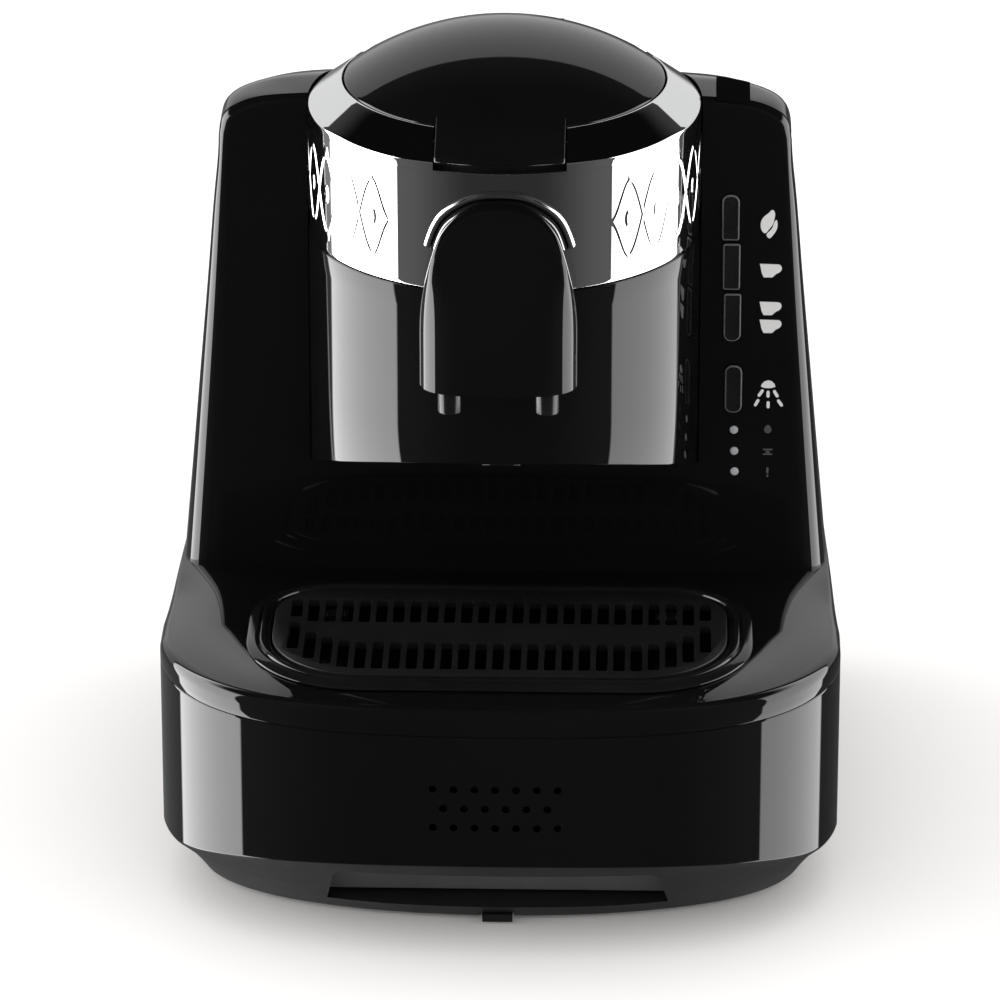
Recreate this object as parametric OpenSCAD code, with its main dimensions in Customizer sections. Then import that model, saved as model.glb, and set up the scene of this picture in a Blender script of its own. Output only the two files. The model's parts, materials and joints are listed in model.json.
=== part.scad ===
// Electric Turkish coffee maker: a base with a cup platform, a tower behind it,
// and a brewing cylinder that overhangs the cups. Front is -Y, right is +X, +Z up.
// The origin is on the table, under the middle of the machine. Millimetres.

/* [Base] */
// Height of the deck that the cup platform sits in
deck_z = 97; // [95:0.5:98]
// Height of the seam between the fascia and the deck cover
seam_z = 86; // [84:0.5:88]
// Height of the seam between the fascia and the lower skirt
skirt_z = 24; // [23.5:0.5:26]
// Wall thickness of the moulded shells
wall = 2.6; // [2.2:0.1:2.8]
// Diameter of one speaker hole in the fascia
speaker_hole_d = 2.8; // [2:0.1:3.4]
// Distance between neighbouring speaker holes
speaker_pitch = 7.3; // [6:0.1:7.6]

/* [Tower] */
// Height of the top cover's crest, just behind the front panel
crest_z = 279; // [277.5:0.5:280]
// Thickness of the tower's walls
tower_wall_t = 2.6; // [2.2:0.1:2.8]

/* [Brewing cylinder] */
// Radius of the brewing cylinder
cyl_r = 70; // [69.5:0.1:70.3]
// Position of the cylinder's axis, behind (+) or in front (-) of the origin
cyl_y = -9; // [-10:0.5:-8]
// Height of the cylinder's underside where it meets the tower
under_z = 140; // [136:1:144]
// Height of the lower edge of the chrome band
band_z = 230; // [228:1:232]
// Height of the outer edge of the chrome ring
ring_z = 277; // [276.5:0.5:277.5]
// Height of the lid's dome above the ring's inner edge
dome_h = 18; // [15:0.5:18]
// Inside radius of the brewing pot
pot_r = 44.8; // [40:0.2:44.8]

/* [Spout] */
// Half width of the spout cover at its foot
spout_hw = 27.4; // [26:0.2:28]
// Distance of each nozzle from the middle
nozzle_x = 16.9; // [15:0.1:18]
// Outer diameter of a nozzle
nozzle_d = 8.4; // [7:0.2:8.6]

/* [Controls] */
// Width of a push button
button_w = 6.2; // [5.8:0.1:6.4]
// Clearance around a push button
button_gap = 0.35; // [0.3:0.05:0.5]
// How far a push button stands out of the panel
button_proud = 1.3; // [0.8:0.1:1.8]
// Diameter of an indicator light
led_d = 3.2; // [2.6:0.1:3.4]

/* [Cup platform] */
// Distance between neighbouring grille slots
slot_pitch = 6.1; // [6:0.05:6.2]
// Width of one grille slot
slot_w = 4.1; // [3.6:0.1:4.2]

/* [Water tank] */
// Half width of the water tank
tank_hw = 71.5; // [68:0.5:71.5]
// Wall thickness of the water tank
tank_wall = 2.2; // [1.8:0.1:2.6]

/* [Waste drawer] */
// Half width of the waste drawer's tub
drawer_hw = 54; // [50:0.5:54]
// Length of the waste drawer's tub
drawer_l = 112; // [90:1:116]

/* [Hidden] */

$fn = 96;
black = [0.05, 0.05, 0.055];
soft_black = [0.12, 0.12, 0.125];
chrome = [0.82, 0.83, 0.85];
steel = [0.7, 0.7, 0.72];

// ---- curves -------------------------------------------------------------
// a smooth run through hand-set points, n steps to each stretch
function cr1(a, b, c, d, t) = 0.5 * (2 * b + (c - a) * t + (2 * a - 5 * b + 4 * c - d) * t * t
    + (3 * b - a - 3 * c + d) * t * t * t);
function cr(p, n) = let (m = len(p) - 1, f = [-p[1][0], p[1][1]], l = [-p[m - 1][0], p[m - 1][1]])
    [for (i = [0:m - 1], k = [0:n - 1])
        cr1(i == 0 ? f : p[i - 1], p[i], p[i + 1], i == m - 1 ? l : p[i + 2], k / n), p[m]];
// the right half's points, from front to back, made into a whole outline
function whole(h) = let (m = len(h) - 1) concat(h, [for (i = [m - 1:-1:1]) [-h[i][0], h[i][1]]]);
function clampy(p) = [for (q = p) [q[0], max(-135, min(135, q[1]))]];
function plan(h, n = 3) = clampy(whole(cr(h, n)));
// an outline moved inwards by d
function inset(p, d) = let (m = len(p)) [for (i = [0:m - 1])
    let (a = p[(i + m - 1) % m], b = p[(i + 1) % m], t = (b - a) / norm(b - a)) p[i] + d * [-t[1], t[0]]];
// rounded rectangle, front radius rf and back radius rb
function rrect(hw, yf, yb, rf, rb, n = 8) = concat(
    [for (i = [0:n]) let (a = -90 + 90 * i / n) [hw - rf + rf * cos(a), yf + rf + rf * sin(a)]],
    [for (i = [0:n]) let (a = 90 * i / n) [hw - rb + rb * cos(a), yb - rb + rb * sin(a)]],
    [for (i = [0:n]) let (a = 90 + 90 * i / n) [-hw + rb + rb * cos(a), yb - rb + rb * sin(a)]],
    [for (i = [0:n]) let (a = 180 + 90 * i / n) [-hw + rf + rf * cos(a), yf + rf + rf * sin(a)]]);

// ---- plan outlines, right half from the front centre to the back centre --
p_bottom = plan([[0, -105], [32, -103.3], [60, -98], [85, -88.5], [102, -74.5], [110, -54], [112, -9],
    [110, 50], [107, 100], [102, 118], [92, 128], [78, 130], [40, 130], [0, 130]]);
p_seam = plan([[0, -135], [32, -134], [62, -130], [84, -122.5], [99, -113], [111, -99.5],
    [118, -86], [121.5, -72], [121.2, -52], [119.4, -9], [116.8, 50], [114.3, 100], [110, 119],
    [99, 131], [84, 135], [40, 135], [0, 135]]);
p_deck = plan([[0, -131], [32, -130], [62, -126], [84, -118.5], [98, -109], [108, -96.5],
    [114.5, -84], [117.8, -70], [118, -50], [117.9, -9], [116.6, 50], [114.1, 100], [110, 119],
    [99, 131], [84, 135], [40, 135], [0, 135]]);
p_tower0 = plan([[0, -14], [60, -14], [104, -14], [111.6, -12.2], [116, -7.6], [117.6, 1], [116.8, 50],
    [114, 100], [110, 119], [99, 131], [84, 135], [40, 135], [0, 135]]);
// cross-sections of the tower's top, from front to back: [Y, inset of Y, right half from the side to the middle]
tower_ribs = [
    [-7.5, 1, [[98.9, 257.7], [97.9, 265], [96.5, 267.3], [93.8, 269.3], [90.7, 270.8], [79.2, 273], [60, 273.7], [0, 273.9]]],
    [-6.9, 1, [[100.7, 257.7], [99.5, 265.7], [98, 268.6], [94.7, 270.9], [91.3, 272.4], [79.4, 274.6], [60, 275.3], [0, 275.5]]],
    [-5.2, 1, [[101.9, 258], [100.9, 266.2], [99, 269.6], [95.4, 272.1], [91.7, 273.7], [79.5, 275.9], [60, 276.6], [0, 276.9]]],
    [-3.6, 1, [[102.3, 258], [101.4, 266.4], [99.5, 270], [95.7, 272.6], [91.9, 274.3], [79.6, 276.5], [60, 277.3], [0, 277.8]]],
    [12, 0, [[102.3, 256], [101.7, 265], [100, 269.4], [96.3, 272.5], [91, 274.6], [79.5, 276.9], [60, 278.1], [0, crest_z]]],
    [25, 0, [[101.8, 251], [101, 260], [99.4, 265.2], [96, 268.6], [90, 271.4], [78, 274.5], [60, 276], [0, 277]]],
    [45, 0, [[101, 243], [100, 252], [98.3, 257], [94.8, 260.3], [89, 263], [77, 266], [60, 267.6], [0, 268.6]]],
    [75, 0, [[99.8, 228], [98.8, 237], [97.2, 242], [93.6, 245.4], [88, 248], [76, 251], [60, 252.6], [0, 253.6]]],
    [105, 0, [[98, 212], [97, 221], [95, 226.3], [91.4, 229.6], [86, 232.1], [74, 235.1], [58, 236.6], [0, 237.6]]],
    [130, -1, [[90, 198], [89, 207], [87.4, 212], [84, 215.4], [79, 218], [68, 221], [54, 222.8], [0, 223.8]]],
    [134.9, -1, [[78, 196], [77.4, 205], [76, 210.4], [73, 213.6], [68, 216.2], [58, 218.6], [48, 219.8], [0, 220.6]]]];
p_collar = rrect(90, -121, -29, 42, 30);
p_well = rrect(84, -115, -34, 37, 25);
p_grille = rrect(81, -112, -37, 34, 22);

// height of the panel's front face, as Y
function panel_y(z) = -14 + 6.5 * (z - deck_z) / 178;

module slab(p, z, t) translate([0, 0, z]) linear_extrude(t) polygon(p);
module at_cyl() translate([0, cyl_y, 0]) children();
// a side profile, given as [y, z] points, drawn out along X
module side(p, hw) translate([-hw, 0, 0]) rotate([90, 0, 90]) linear_extrude(2 * hw) polygon(p);
// a front profile, given as [x, z] points, drawn out from y1 towards the front
module front(p, y1, l) translate([0, y1, 0]) rotate([90, 0, 0]) linear_extrude(l) polygon(p);
// a solid hose through points, with a ball elbow at each bend
module run(p, r, e = 1.2) {
    for (i = [0:len(p) - 2]) {
        v = p[i + 1] - p[i]; l = norm(v);
        translate(p[i]) rotate([0, acos(v[2] / l), atan2(v[1], v[0])]) cylinder(r = r, h = l, $fn = 24);
        if (i > 0) translate(p[i]) sphere(r = r + e, $fn = 24);
    }
}

// ---- base ---------------------------------------------------------------
feet_at = [[88, -58], [-88, -58], [88, 104], [-88, 104]];
screw_at = [[98, -34], [-98, -34], [96, 80], [-96, 80]];
post_at = [[-94, -54], [-62, -54], [-94, 4], [-62, 4]];

module base_plate() color(soft_black) difference() {
    union() {
        slab(inset(p_bottom, wall + 0.4), 2, 2.4);
        // drawer rails
        for (s = [-1, 1]) translate([s > 0 ? 55.4 : -57.4, -88, 4.4]) cube([2, 118, 6]);
        for (s = [-1, 1]) translate([s * 30 - 1, -88, 4.4]) cube([2, 108, 3.8]);
        // stand-offs of the control board
        for (q = post_at) translate([q[0], q[1], 4.4]) cylinder(r = 3, h = 35.6, $fn = 24);
        // ribs
        for (y = [24, 112]) translate([-50, y, 4.4]) cube([100, 2, y > 100 ? 8 : 1]);
        // lug at the front edge
        translate([-5.4, -108.6, 1.4]) cube([10.8, 12, 2.8]);
    }
    for (q = feet_at) translate([q[0], q[1], 1]) cylinder(r = 3, h = 5);
    for (q = screw_at) translate([q[0], q[1], 1]) cylinder(r = 1.8, h = 5);
    for (x = [-40:10:40]) translate([x - 1.5, 62, 1]) cube([3, 40, 5]);
}

// everything above the fascia's lower edge, which rises towards the front; raised by o
module above_edge(o = 0) side([[-145, skirt_z + 15 + o], [-95, skirt_z + o], [140, skirt_z + o], [140, 120], [-145, 120]], 130);
function half_recess(g) = [[61 - g, 8.1 + g], [60.4 - g, 11], [57.9 - g, 25.8], [56.9 - g, 27.8 - g / 2], [55.2 - g, 29.1 - g], [53.2 - g, 29.6 - g]];
module recess_shape(g) { h = half_recess(g); polygon(concat(h, [for (i = [len(h) - 1:-1:0]) [-h[i][0], h[i][1]]])); }

// the skirt's solid shape, with its walls moved inwards by g
module skirt_solid(g) hull() {
    difference() {
        intersection() { slab(g > 0 ? inset(p_seam, g) : p_seam, skirt_z - 1, 20); above_edge(-0.4); }
        above_edge(g > 0 ? 0.2 : 0);
    }
    slab(g > 0 ? inset(p_bottom, g) : p_bottom, g > 0 ? 1.9 : 2, 0.4);
}
module base_skirt() color(soft_black) difference() {
    union() {
        difference() { skirt_solid(0); skirt_solid(wall); }
        // walls of the finger recess
        intersection() { skirt_solid(0); translate([0, -96, 0]) rotate([90, 0, 0]) linear_extrude(45) recess_shape(-1.6); }
        // screw bosses
        for (q = screw_at) {
            translate([q[0], q[1], 4.6]) cylinder(r = 4, h = 16);
            l = q[1] < 0 ? 16.6 : 14.6;
            translate([q[0] > 0 ? q[0] : q[0] - l, q[1] - 1, 12]) cube([l, 2, 8.6]);
        }
    }
    for (q = screw_at) translate([q[0], q[1], 4]) cylinder(r = 1.5, h = 14);
    translate([0, -80, 0]) rotate([90, 0, 0]) linear_extrude(65) recess_shape(0);
    translate([-5.9, -120, 1]) cube([11.8, 40, 3.6]);
    above_edge();
}

// rows of round speaker holes in the fascia: [how many, height]
hole_rows = [[7, 65.9], [6, 58.5], [7, 51.1]];
module speaker_posts() for (s = [-1, 1]) translate([s * 24, -125, 58.5]) rotate([90, 0, 0]) cylinder(r = 3, h = 8.4, $fn = 32);
module base_housing() color(black) { base_shell(); speaker_posts(); }
module base_shell() difference() {
    intersection() { slab(p_seam, skirt_z - 1, seam_z - skirt_z + 1); above_edge(); }
    slab(inset(p_seam, wall), skirt_z - 4, seam_z - skirt_z + 8);
    for (r = hole_rows, i = [0:r[0] - 1])
        translate([(i - (r[0] - 1) / 2) * speaker_pitch, -128, r[1]])
            rotate([90, 0, 0]) cylinder(d = speaker_hole_d, h = 12, $fn = 24);
    // switch outlet in the back wall, and the notch that the cord gland slides into from below
    translate([49.8, 120, 41.8]) cube([22.4, 20, 14.4]);
    translate([-67, 120, 15]) cube([14, 20, 41]);
    // air vents low in the back wall
    for (x = [-24:8:24]) translate([x - 1.5, 125, 34]) cube([3, 15, 22]);
}

module base_top_cover() color(black) difference() {
    hull() { slab(p_seam, seam_z, 5); slab(p_deck, deck_z - 0.2, 0.2); }
    hull() { slab(inset(p_seam, wall), seam_z - 1.6, 5.5); slab(inset(p_deck, wall), deck_z - wall - 0.3, 0.3); }
    slab(p_well, deck_z - 10, 20);
    // cable and hose passage up into the tower
    slab(rrect(92, 6, 80, 10, 10), deck_z - 10, 20);
    translate([0, 110, deck_z - 10]) cylinder(r = 12.2, h = 20);
}

module cup_well_ledges() for (x = [-60, 60], y = [-98, -52]) translate([x - 5, y - 4, 81.9]) cube([10, 8, 14.5]);

module drip_tray() color(black) difference() {
    union() {
        slab(inset(p_well, 0.5), 80, 18);
        hull() { slab(p_collar, deck_z + 0.3, 1); slab(inset(p_collar, 1.6), deck_z + 2.9, 0.1); }
    }
    difference() {
        slab(inset(p_well, 2.5), 82, 30);
        cup_well_ledges();
    }
    translate([0, -75, 79]) cylinder(r = 4, h = 5);
}

function slot_front(x) = abs(x) < 47 ? -107 : -78 - sqrt(max(0, 29 * 29 - pow(abs(x) - 47, 2)));
module cup_grille() color(soft_black) difference() {
    slab(inset(p_grille, 0), 96.8, 2.8);
    for (i = [-12:12]) {
        x = i * slot_pitch; yf = slot_front(x); yr = yf + 23;
        translate([x - slot_w / 2, yf, 90]) cube([slot_w, yr - yf, 20]);
        f2 = max(-67, yr + 4.5);
        if (f2 < -52) translate([x - slot_w / 2, f2, 90]) cube([slot_w, -47.6 - f2, 20]);
    }
}

module drain_funnel() color([0.75, 0.75, 0.73]) {
    translate([0, -75, 0]) rotate_extrude($fn = 48)
        polygon([[3.4, 24.4], [4.8, 24.4], [4.8, 66], [15, 77], [15, 79.4], [13.6, 79.4], [13.6, 77.6], [3.4, 66.6]]);
    // straps that hang it from the deck
    for (x = [-10, 6]) {
        translate([x, -64.6, 75.4]) cube([4, 35.6, 2.2]);
        translate([x, -31.4, 75.4]) cube([4, 2.4, 19]);
    }
}

module waste_drawer() color([0.2, 0.2, 0.21]) difference() {
    translate([-drawer_hw, -94.4, 8.6]) cube([2 * drawer_hw, drawer_l, 13.6]);
    translate([-drawer_hw + 1.6, -92.8, 10.2]) cube([2 * drawer_hw - 3.2, drawer_l - 3.2, 20]);
}

module drawer_front() color(soft_black) {
    translate([0, -94.4, 0]) rotate([90, 0, 0]) linear_extrude(2.6) recess_shape(0.5);
    // finger ledge
    translate([-48, -100.4, 25]) cube([96, 3.8, 2.2]);
}

// ---- tower --------------------------------------------------------------
// the tower's solid shape, with its walls moved inwards by g
module tower_solid(g) hull() {
    slab(g > 0 ? inset(p_tower0, g) : p_tower0, deck_z - (g > 0 ? 0.2 : 0), 0.2);
    for (r = tower_ribs) {
        h = [for (q = r[2]) [q[0] > 0 ? q[0] - g : 0, q[1] - g * (r[1] == 0 ? 1.12 : 1)]];
        m = len(h) - 1;
        front(concat(h, [for (i = [m - 1:-1:0]) [-h[i][0], h[i][1]]]), r[0] + g * r[1] + 0.1, 0.1);
    }
}
module tower_out() tower_solid(0);
module tower_wall() difference() { tower_out(); tower_solid(tower_wall_t); }
// everything above the sloping seam between the rear shell and the top cover
module above_seam(o = 0) side([[-30, 277.5 + o], [150, 193 + o], [150, 330], [-30, 330]], 130);
// everything above the sloping top of the water tank, moved by o along its normal
tank_pin = [90, 241];
module above_tank(o) translate([0, tank_pin[0], tank_pin[1]]) rotate([-26.565, 0, 0]) translate([-100, -60, o]) cube([200, 160, 100]);
module cyl_cut() at_cyl() translate([0, 0, under_z - 0.4]) cylinder(r = cyl_r + 0.5, h = 160);
module bay_cut() translate([-72.3, 83, deck_z + 1]) cube([144.6, 60, 200]);

// button column: [height of the middle, height of the button, corner radius at the top, corner radius at the foot]
buttons = [[233.5, 17, 2.7, 0.9], [215, 17.3, 0.9, 0.9], [195.8, 18, 0.9, 2.7], [168.5, 18, 2.7, 2.7]];
leds = [152.5, 144.4, 136.5];
function col_x(z) = 80.8 + 2.4 * (234 - z) / 90;
module key_shape(w, h, t, f) {
    translate([-w / 2, f - h / 2]) square([w, h - t - f]);
    translate([t - w / 2, 0]) square([w - 2 * t, h / 2]);
    translate([f - w / 2, -h / 2]) square([w - 2 * f, h / 2]);
    for (x = [-1, 1]) {
        translate([x * (w / 2 - t), h / 2 - t]) circle(r = t, $fn = 32);
        translate([x * (w / 2 - f), f - h / 2]) circle(r = f, $fn = 32);
    }
}
module key_at(b) translate([col_x(b[0]), 0, b[0]]) rotate([90, 0, 0]) children();

board_posts = [[76.6, 132], [93.4, 132], [76.6, 248], [93.4, 248]];
module tower_front_panel() color(black) difference() {
    union() {
        intersection() { tower_wall(); translate([-130, -20, 90]) cube([260, 16.4, 200]); }
        for (q = board_posts) translate([q[0], 1.5, q[1]]) rotate([90, 0, 0]) cylinder(r = 2, h = 0.6 - panel_y(q[1]), $fn = 32);
    }
    cyl_cut();
    for (b = buttons) key_at(b) translate([0, 0, -10]) linear_extrude(40)
        key_shape(button_w + 2 * button_gap, b[1] + 2 * button_gap, b[2] + button_gap, b[3] + button_gap);
    for (z = leds) translate([col_x(z), 10, z]) rotate([90, 0, 0]) cylinder(d = led_d + 0.1, h = 40, $fn = 32);
}
module tower_rear_shell() color(black) difference() {
    intersection() { tower_wall(); translate([-130, -3.6, 90]) cube([260, 150, 190]); }
    above_seam();
    cyl_cut();
    bay_cut();
}
module tower_top_cover() color(black) difference() {
    intersection() { tower_wall(); translate([-130, -3.6, 90]) cube([260, 150, 200]); above_seam(); }
    cyl_cut();
    bay_cut();
}
module top_cover_insert() color(soft_black) difference() {
    intersection() {
        translate([0, 0, 1]) tower_out();
        translate([75.2, -5.9, 260]) cube([12, 23.9, 30]);
    }
    tower_out();
}
module tank_bay_liner() color(soft_black) difference() {
    translate([-74.5, 83, deck_z]) cube([149, 44, 162]);
    above_tank(-7.5);
    translate([-72.3, 85.4, deck_z + 3.2]) cube([144.6, 60, 200]);
    translate([0, 110, deck_z - 1]) cylinder(r = 11, h = 10);
}

module tank_outline(g) polygon(rrect(tank_hw - g, 86 + g, 134.6 - g, 5 - g / 2, 5 - g / 2));
module water_tank() color([0.25, 0.27, 0.3, 0.6]) difference() {
    union() {
        difference() {
            translate([0, 0, 101]) linear_extrude(160) tank_outline(0);
            translate([0, 0, 101 + 2.4]) linear_extrude(200) tank_outline(tank_wall);
            above_tank(-1.4);
            translate([-80, 80, tank_pin[1] - 4.5]) cube([160, 15, 40]);
        }
        // hinge ears
        for (s = [-1, 1]) translate([s * 59 - 3, 0, 0]) {
            translate([0, 90, tank_pin[1]]) rotate([0, 90, 0]) cylinder(r = 3.4, h = 6);
            translate([0, 86.6, tank_pin[1] - 13]) cube([6, 6.8, 13]);
        }
    }
    translate([-64, 90, tank_pin[1]]) rotate([0, 90, 0]) cylinder(r = 1.5, h = 128, $fn = 48);
    translate([0, 110, 95]) cylinder(r = 6, h = 20);
}
module tank_lid() color(black) difference() {
    translate([0, tank_pin[0], tank_pin[1]]) rotate([-26.565, 0, 0]) difference() {
        union() {
            side([[0, 4], [46, 4], [48.6, 2.4], [49.2, 0.6], [49.2, -1], [3, -1], [0, 0]], tank_hw);
            translate([-tank_hw, 0, 0]) rotate([0, 90, 0]) cylinder(r = 4, h = 2 * tank_hw);
        }
        side([[6, 1.4], [46.4, 1.4], [46.4, -5], [6, -5]], tank_hw - 2.4);
        // finger notch
        translate([0, 54, -15]) cylinder(r = 9, h = 40);
    }
    for (s = [-1, 1]) translate([s * 59 - 3.4, 84, tank_pin[1] - 14]) cube([6.8, 10.6, 20]);
    translate([-tank_hw - 1, 90, tank_pin[1]]) rotate([0, 90, 0]) cylinder(r = 1.56, h = 2 * tank_hw + 2, $fn = 48);
}
module tank_lid_pin() color(steel) translate([-62, 90, tank_pin[1]]) rotate([0, 90, 0]) cylinder(r = 1.5, h = 124, $fn = 48);
module tank_valve() color([0.8, 0.8, 0.78]) translate([0, 110, 0]) difference() {
    union() {
        translate([0, 0, 98.8]) cylinder(r = 5.9, h = 12);
        translate([0, 0, 103.4]) cylinder(r = 10, h = 2.2);
        translate([0, 0, 110.8]) cylinder(r = 3, h = 6);
    }
    translate([0, 0, 98]) cylinder(r = 2.5, h = 8);
}
module tank_seat() color([0.08, 0.08, 0.08]) translate([0, 110, 0]) rotate_extrude($fn = 64)
    polygon([[3.1, 91], [5.5, 91], [5.5, 94], [12, 94], [12, 96.6], [10.8, 96.9], [10.8, 100.4], [6.4, 100.4], [6.4, 97.6], [3.1, 96.4]]);

// ---- brewing cylinder -----------------------------------------------------
// everything above the sloping underside, raised by o
module above(o) side([[-92, under_z + 0.4 * 78 + o], [-14, under_z + o], [90, under_z + o], [90, 320], [-92, 320]], 90);

module tube_hole(r, z, x = 0) translate([x, -60, z]) rotate([90, 0, 0]) cylinder(r = r, h = 40, $fn = 32);
module hose_holes() for (x = [-20, 20]) translate([x, 30, 247]) rotate([-90, 0, 0]) cylinder(r = 3.6, h = 60, $fn = 32);

module cylinder_body() color(black) difference() {
    intersection() {
        at_cyl() rotate_extrude() polygon([[cyl_r - 3, 120], [cyl_r, 120], [cyl_r, band_z], [cyl_r - 2.3, band_z],
            [cyl_r - 2.3, 272], [cyl_r - 4.5, 272], [cyl_r - 4.5, band_z - 4], [cyl_r - 3, band_z - 6]]);
        above(0);
    }
    translate([0, 6, 0]) tube_hole(3.6, 247);
    hose_holes();
}
module cylinder_floor() color(soft_black) difference() {
    intersection() { at_cyl() translate([0, 0, 120]) cylinder(r = cyl_r - 3.05, h = 90); above(0.1); }
    above(2.6);
    translate([0, -50, under_z + 14.4]) rotate([-21.8, 0, 0]) translate([0, 0, -10]) cylinder(r = 8, h = 20);
    for (x = [-34, 34]) translate([x, 30, 120]) cylinder(r = 6, h = 40);
}
module cup_light_lens() color([0.9, 0.92, 0.95]) translate([0, -50, under_z + 14.4]) rotate([-21.8, 0, 0]) {
    translate([0, 0, -0.6]) cylinder(r = 7.9, h = 3.4);
    translate([0, 0, 2.8]) cylinder(r = 10, h = 1.4);
}
module chrome_band() color(chrome) difference() {
    at_cyl() rotate_extrude() polygon([[cyl_r - 2.2, band_z + 0.2], [cyl_r - 0.4, band_z + 0.2], [cyl_r, ring_z],
        [57.6, ring_z + 9], [57.6, ring_z + 0.2], [59.1, ring_z + 0.2], [59.1, ring_z + 5.4], [cyl_r - 2.2, ring_z - 1]]);
    // notch under the lid's tab
    translate([-23.2, -90, ring_z - 2.6]) cube([46.4, 31, 20]);
    // seat of the hinge bracket
    translate([-21, 40, ring_z - 1]) cube([42, 30, 20]);
    translate([-21, 40, ring_z - 5.4]) cube([42, 30, 20]);
    translate([0, 6, 0]) tube_hole(3.6, 247);
    hose_holes();
}
hinge_y = 58;
hinge_z = ring_z + 4;
module lid_hinge_bracket() color(soft_black) difference() {
    union() {
        intersection() {
            translate([-20.6, 47, 272]) cube([41.2, 30, 4.8]);
            at_cyl() difference() { translate([0, 0, 260]) cylinder(r = cyl_r - 0.2, h = 40); translate([0, 0, 250]) cylinder(r = 59.3, h = 60); translate([0, 0, 250]) cylinder(r = 65.6, h = 26.1); }
        }
        for (s = [-1, 1]) translate([s * 17 - 3, hinge_y, hinge_z]) {
            rotate([0, 90, 0]) cylinder(r = 3.6, h = 6, $fn = 48);
            translate([0, -3, 275 - hinge_z]) cube([6, 6, hinge_z - 275]);
        }
    }
    translate([-30, hinge_y, hinge_z]) rotate([0, 90, 0]) cylinder(r = 1.6, h = 60, $fn = 48);
}
module lid_hinge_pin() color(steel) translate([-20, hinge_y, hinge_z]) rotate([0, 90, 0]) cylinder(r = 1.6, h = 40, $fn = 48);

dome_r = (57 * 57 + dome_h * dome_h) / (2 * dome_h);
dome_c = ring_z + 9 + dome_h - dome_r;
function dome_z(r, R = dome_r) = dome_c + sqrt(R * R - r * r);
module lid_dome() color(black) difference() {
    union() {
        at_cyl() rotate_extrude() polygon(concat(
            [for (i = [0:20]) let (r = 56.9 * i / 20) [r, dome_z(r)]],
            [[57, ring_z + 8.6], [56.6, ring_z + 3.4], [54.6, ring_z + 3.4], [54.6, ring_z + 6]],
            [for (i = [20:-1:0]) let (r = 54.6 * i / 20) [r, dome_z(r, dome_r - 2.4)]]));
        // hinge arm and knuckle
        side([[46, ring_z + 9.6], [46, ring_z + 6.2], [53, ring_z + 5], [hinge_y, ring_z + 3], [hinge_y + 1.5, ring_z + 7.3], [50, ring_z + 8.8]], 12);
        translate([-13.6, hinge_y, hinge_z]) rotate([0, 90, 0]) cylinder(r = 3.6, h = 27.2, $fn = 48);
    }
    translate([-30, hinge_y, hinge_z]) rotate([0, 90, 0]) cylinder(r = 1.66, h = 60, $fn = 48);
}
function tabp(a) = [for (q = a) [q[0] + cyl_y, ring_z + q[1]]];
module lid_tab() color(soft_black) difference() {
    side(tabp([[-54.6, 11.9], [-58, 10.3], [-66, 6.7], [-71.6, 4.1], [-73.2, 3], [-73.4, 1.9], [-72, 1.3],
        [-69, 2.2], [-62, 5.2], [-57.6, 7.2], [-55, 8.2], [-54.6, 9.5]]), 22.6);
    at_cyl() rotate_extrude() polygon(concat([[0, 270]], [for (i = [20:-1:0]) let (r = 57.1 * i / 20) [57.1 - r, dome_z(57.1 - r) + 0.02]], [[57.1, 270]]));
}
module lid_liner() color([0.3, 0.3, 0.31]) at_cyl() difference() {
    translate([0, 0, ring_z + 2]) cylinder(r = 54.5, h = 2.6);
    for (i = [0:5]) rotate([0, 0, 60 * i]) translate([30, 0, ring_z]) cylinder(r = 2, h = 10, $fn = 24);
}
module lid_gasket() color([0.15, 0.15, 0.15]) at_cyl() rotate_extrude()
    polygon([[50.5, ring_z + 2], [54.4, ring_z + 2], [54.4, ring_z - 0.2], [53.4, ring_z - 0.65], [52.4, ring_z - 0.2], [50.5, ring_z + 0.4]]);

module pot_holder() color(soft_black) difference() {
    at_cyl() rotate_extrude() polygon([[65.4, 240], [65.4, 276], [51.8, 276], [50.9, 243], [50.9, 238.6], [46.6, 238.6],
        [46.6, 236], [53.2, 236], [53.2, 243], [54.2, 274], [63.2, 274], [63.2, 240]]);
    translate([0, 26, 0]) tube_hole(3.6, 247);
    translate([0, 6, 0]) tube_hole(3.6, 247);
    hose_holes();
}
module brew_pot() color(steel) at_cyl() rotate_extrude() polygon([[0, 184], [pot_r + 1.2, 184], [pot_r + 1.2, 240],
    [50.6, 240], [50.6, 241.4], [pot_r, 241.4], [pot_r, 186], [0, 186]]);
module pot_gasket() color([0.6, 0.2, 0.15]) at_cyl() rotate_extrude() polygon([[pot_r + 1.4, 238.6], [50.4, 238.6], [50.4, 240], [pot_r + 1.4, 240]]);
module heater_plate() color([0.75, 0.75, 0.77]) at_cyl() difference() {
    translate([0, 0, 179]) cylinder(r = 40, h = 5);
    rotate_extrude() translate([30, 178.4]) circle(r = 3.3, $fn = 32);
    translate([0, 0, 170]) cylinder(r = 6.2, h = 12);
}
module heater_ring() color([0.45, 0.42, 0.4]) at_cyl() {
    rotate_extrude() translate([30, 178.4]) circle(r = 3.2, $fn = 32);
    for (x = [-6, 6]) translate([x, 29, 164]) cylinder(r = 1.6, h = 12, $fn = 24);
}
module thermostat() color([0.85, 0.83, 0.78]) at_cyl() {
    translate([0, 0, 170]) cylinder(r = 6, h = 12, $fn = 48);
    for (x = [-3, 3]) translate([x - 0.4, -2, 163]) cube([0.8, 4, 7.2]);
}
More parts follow.
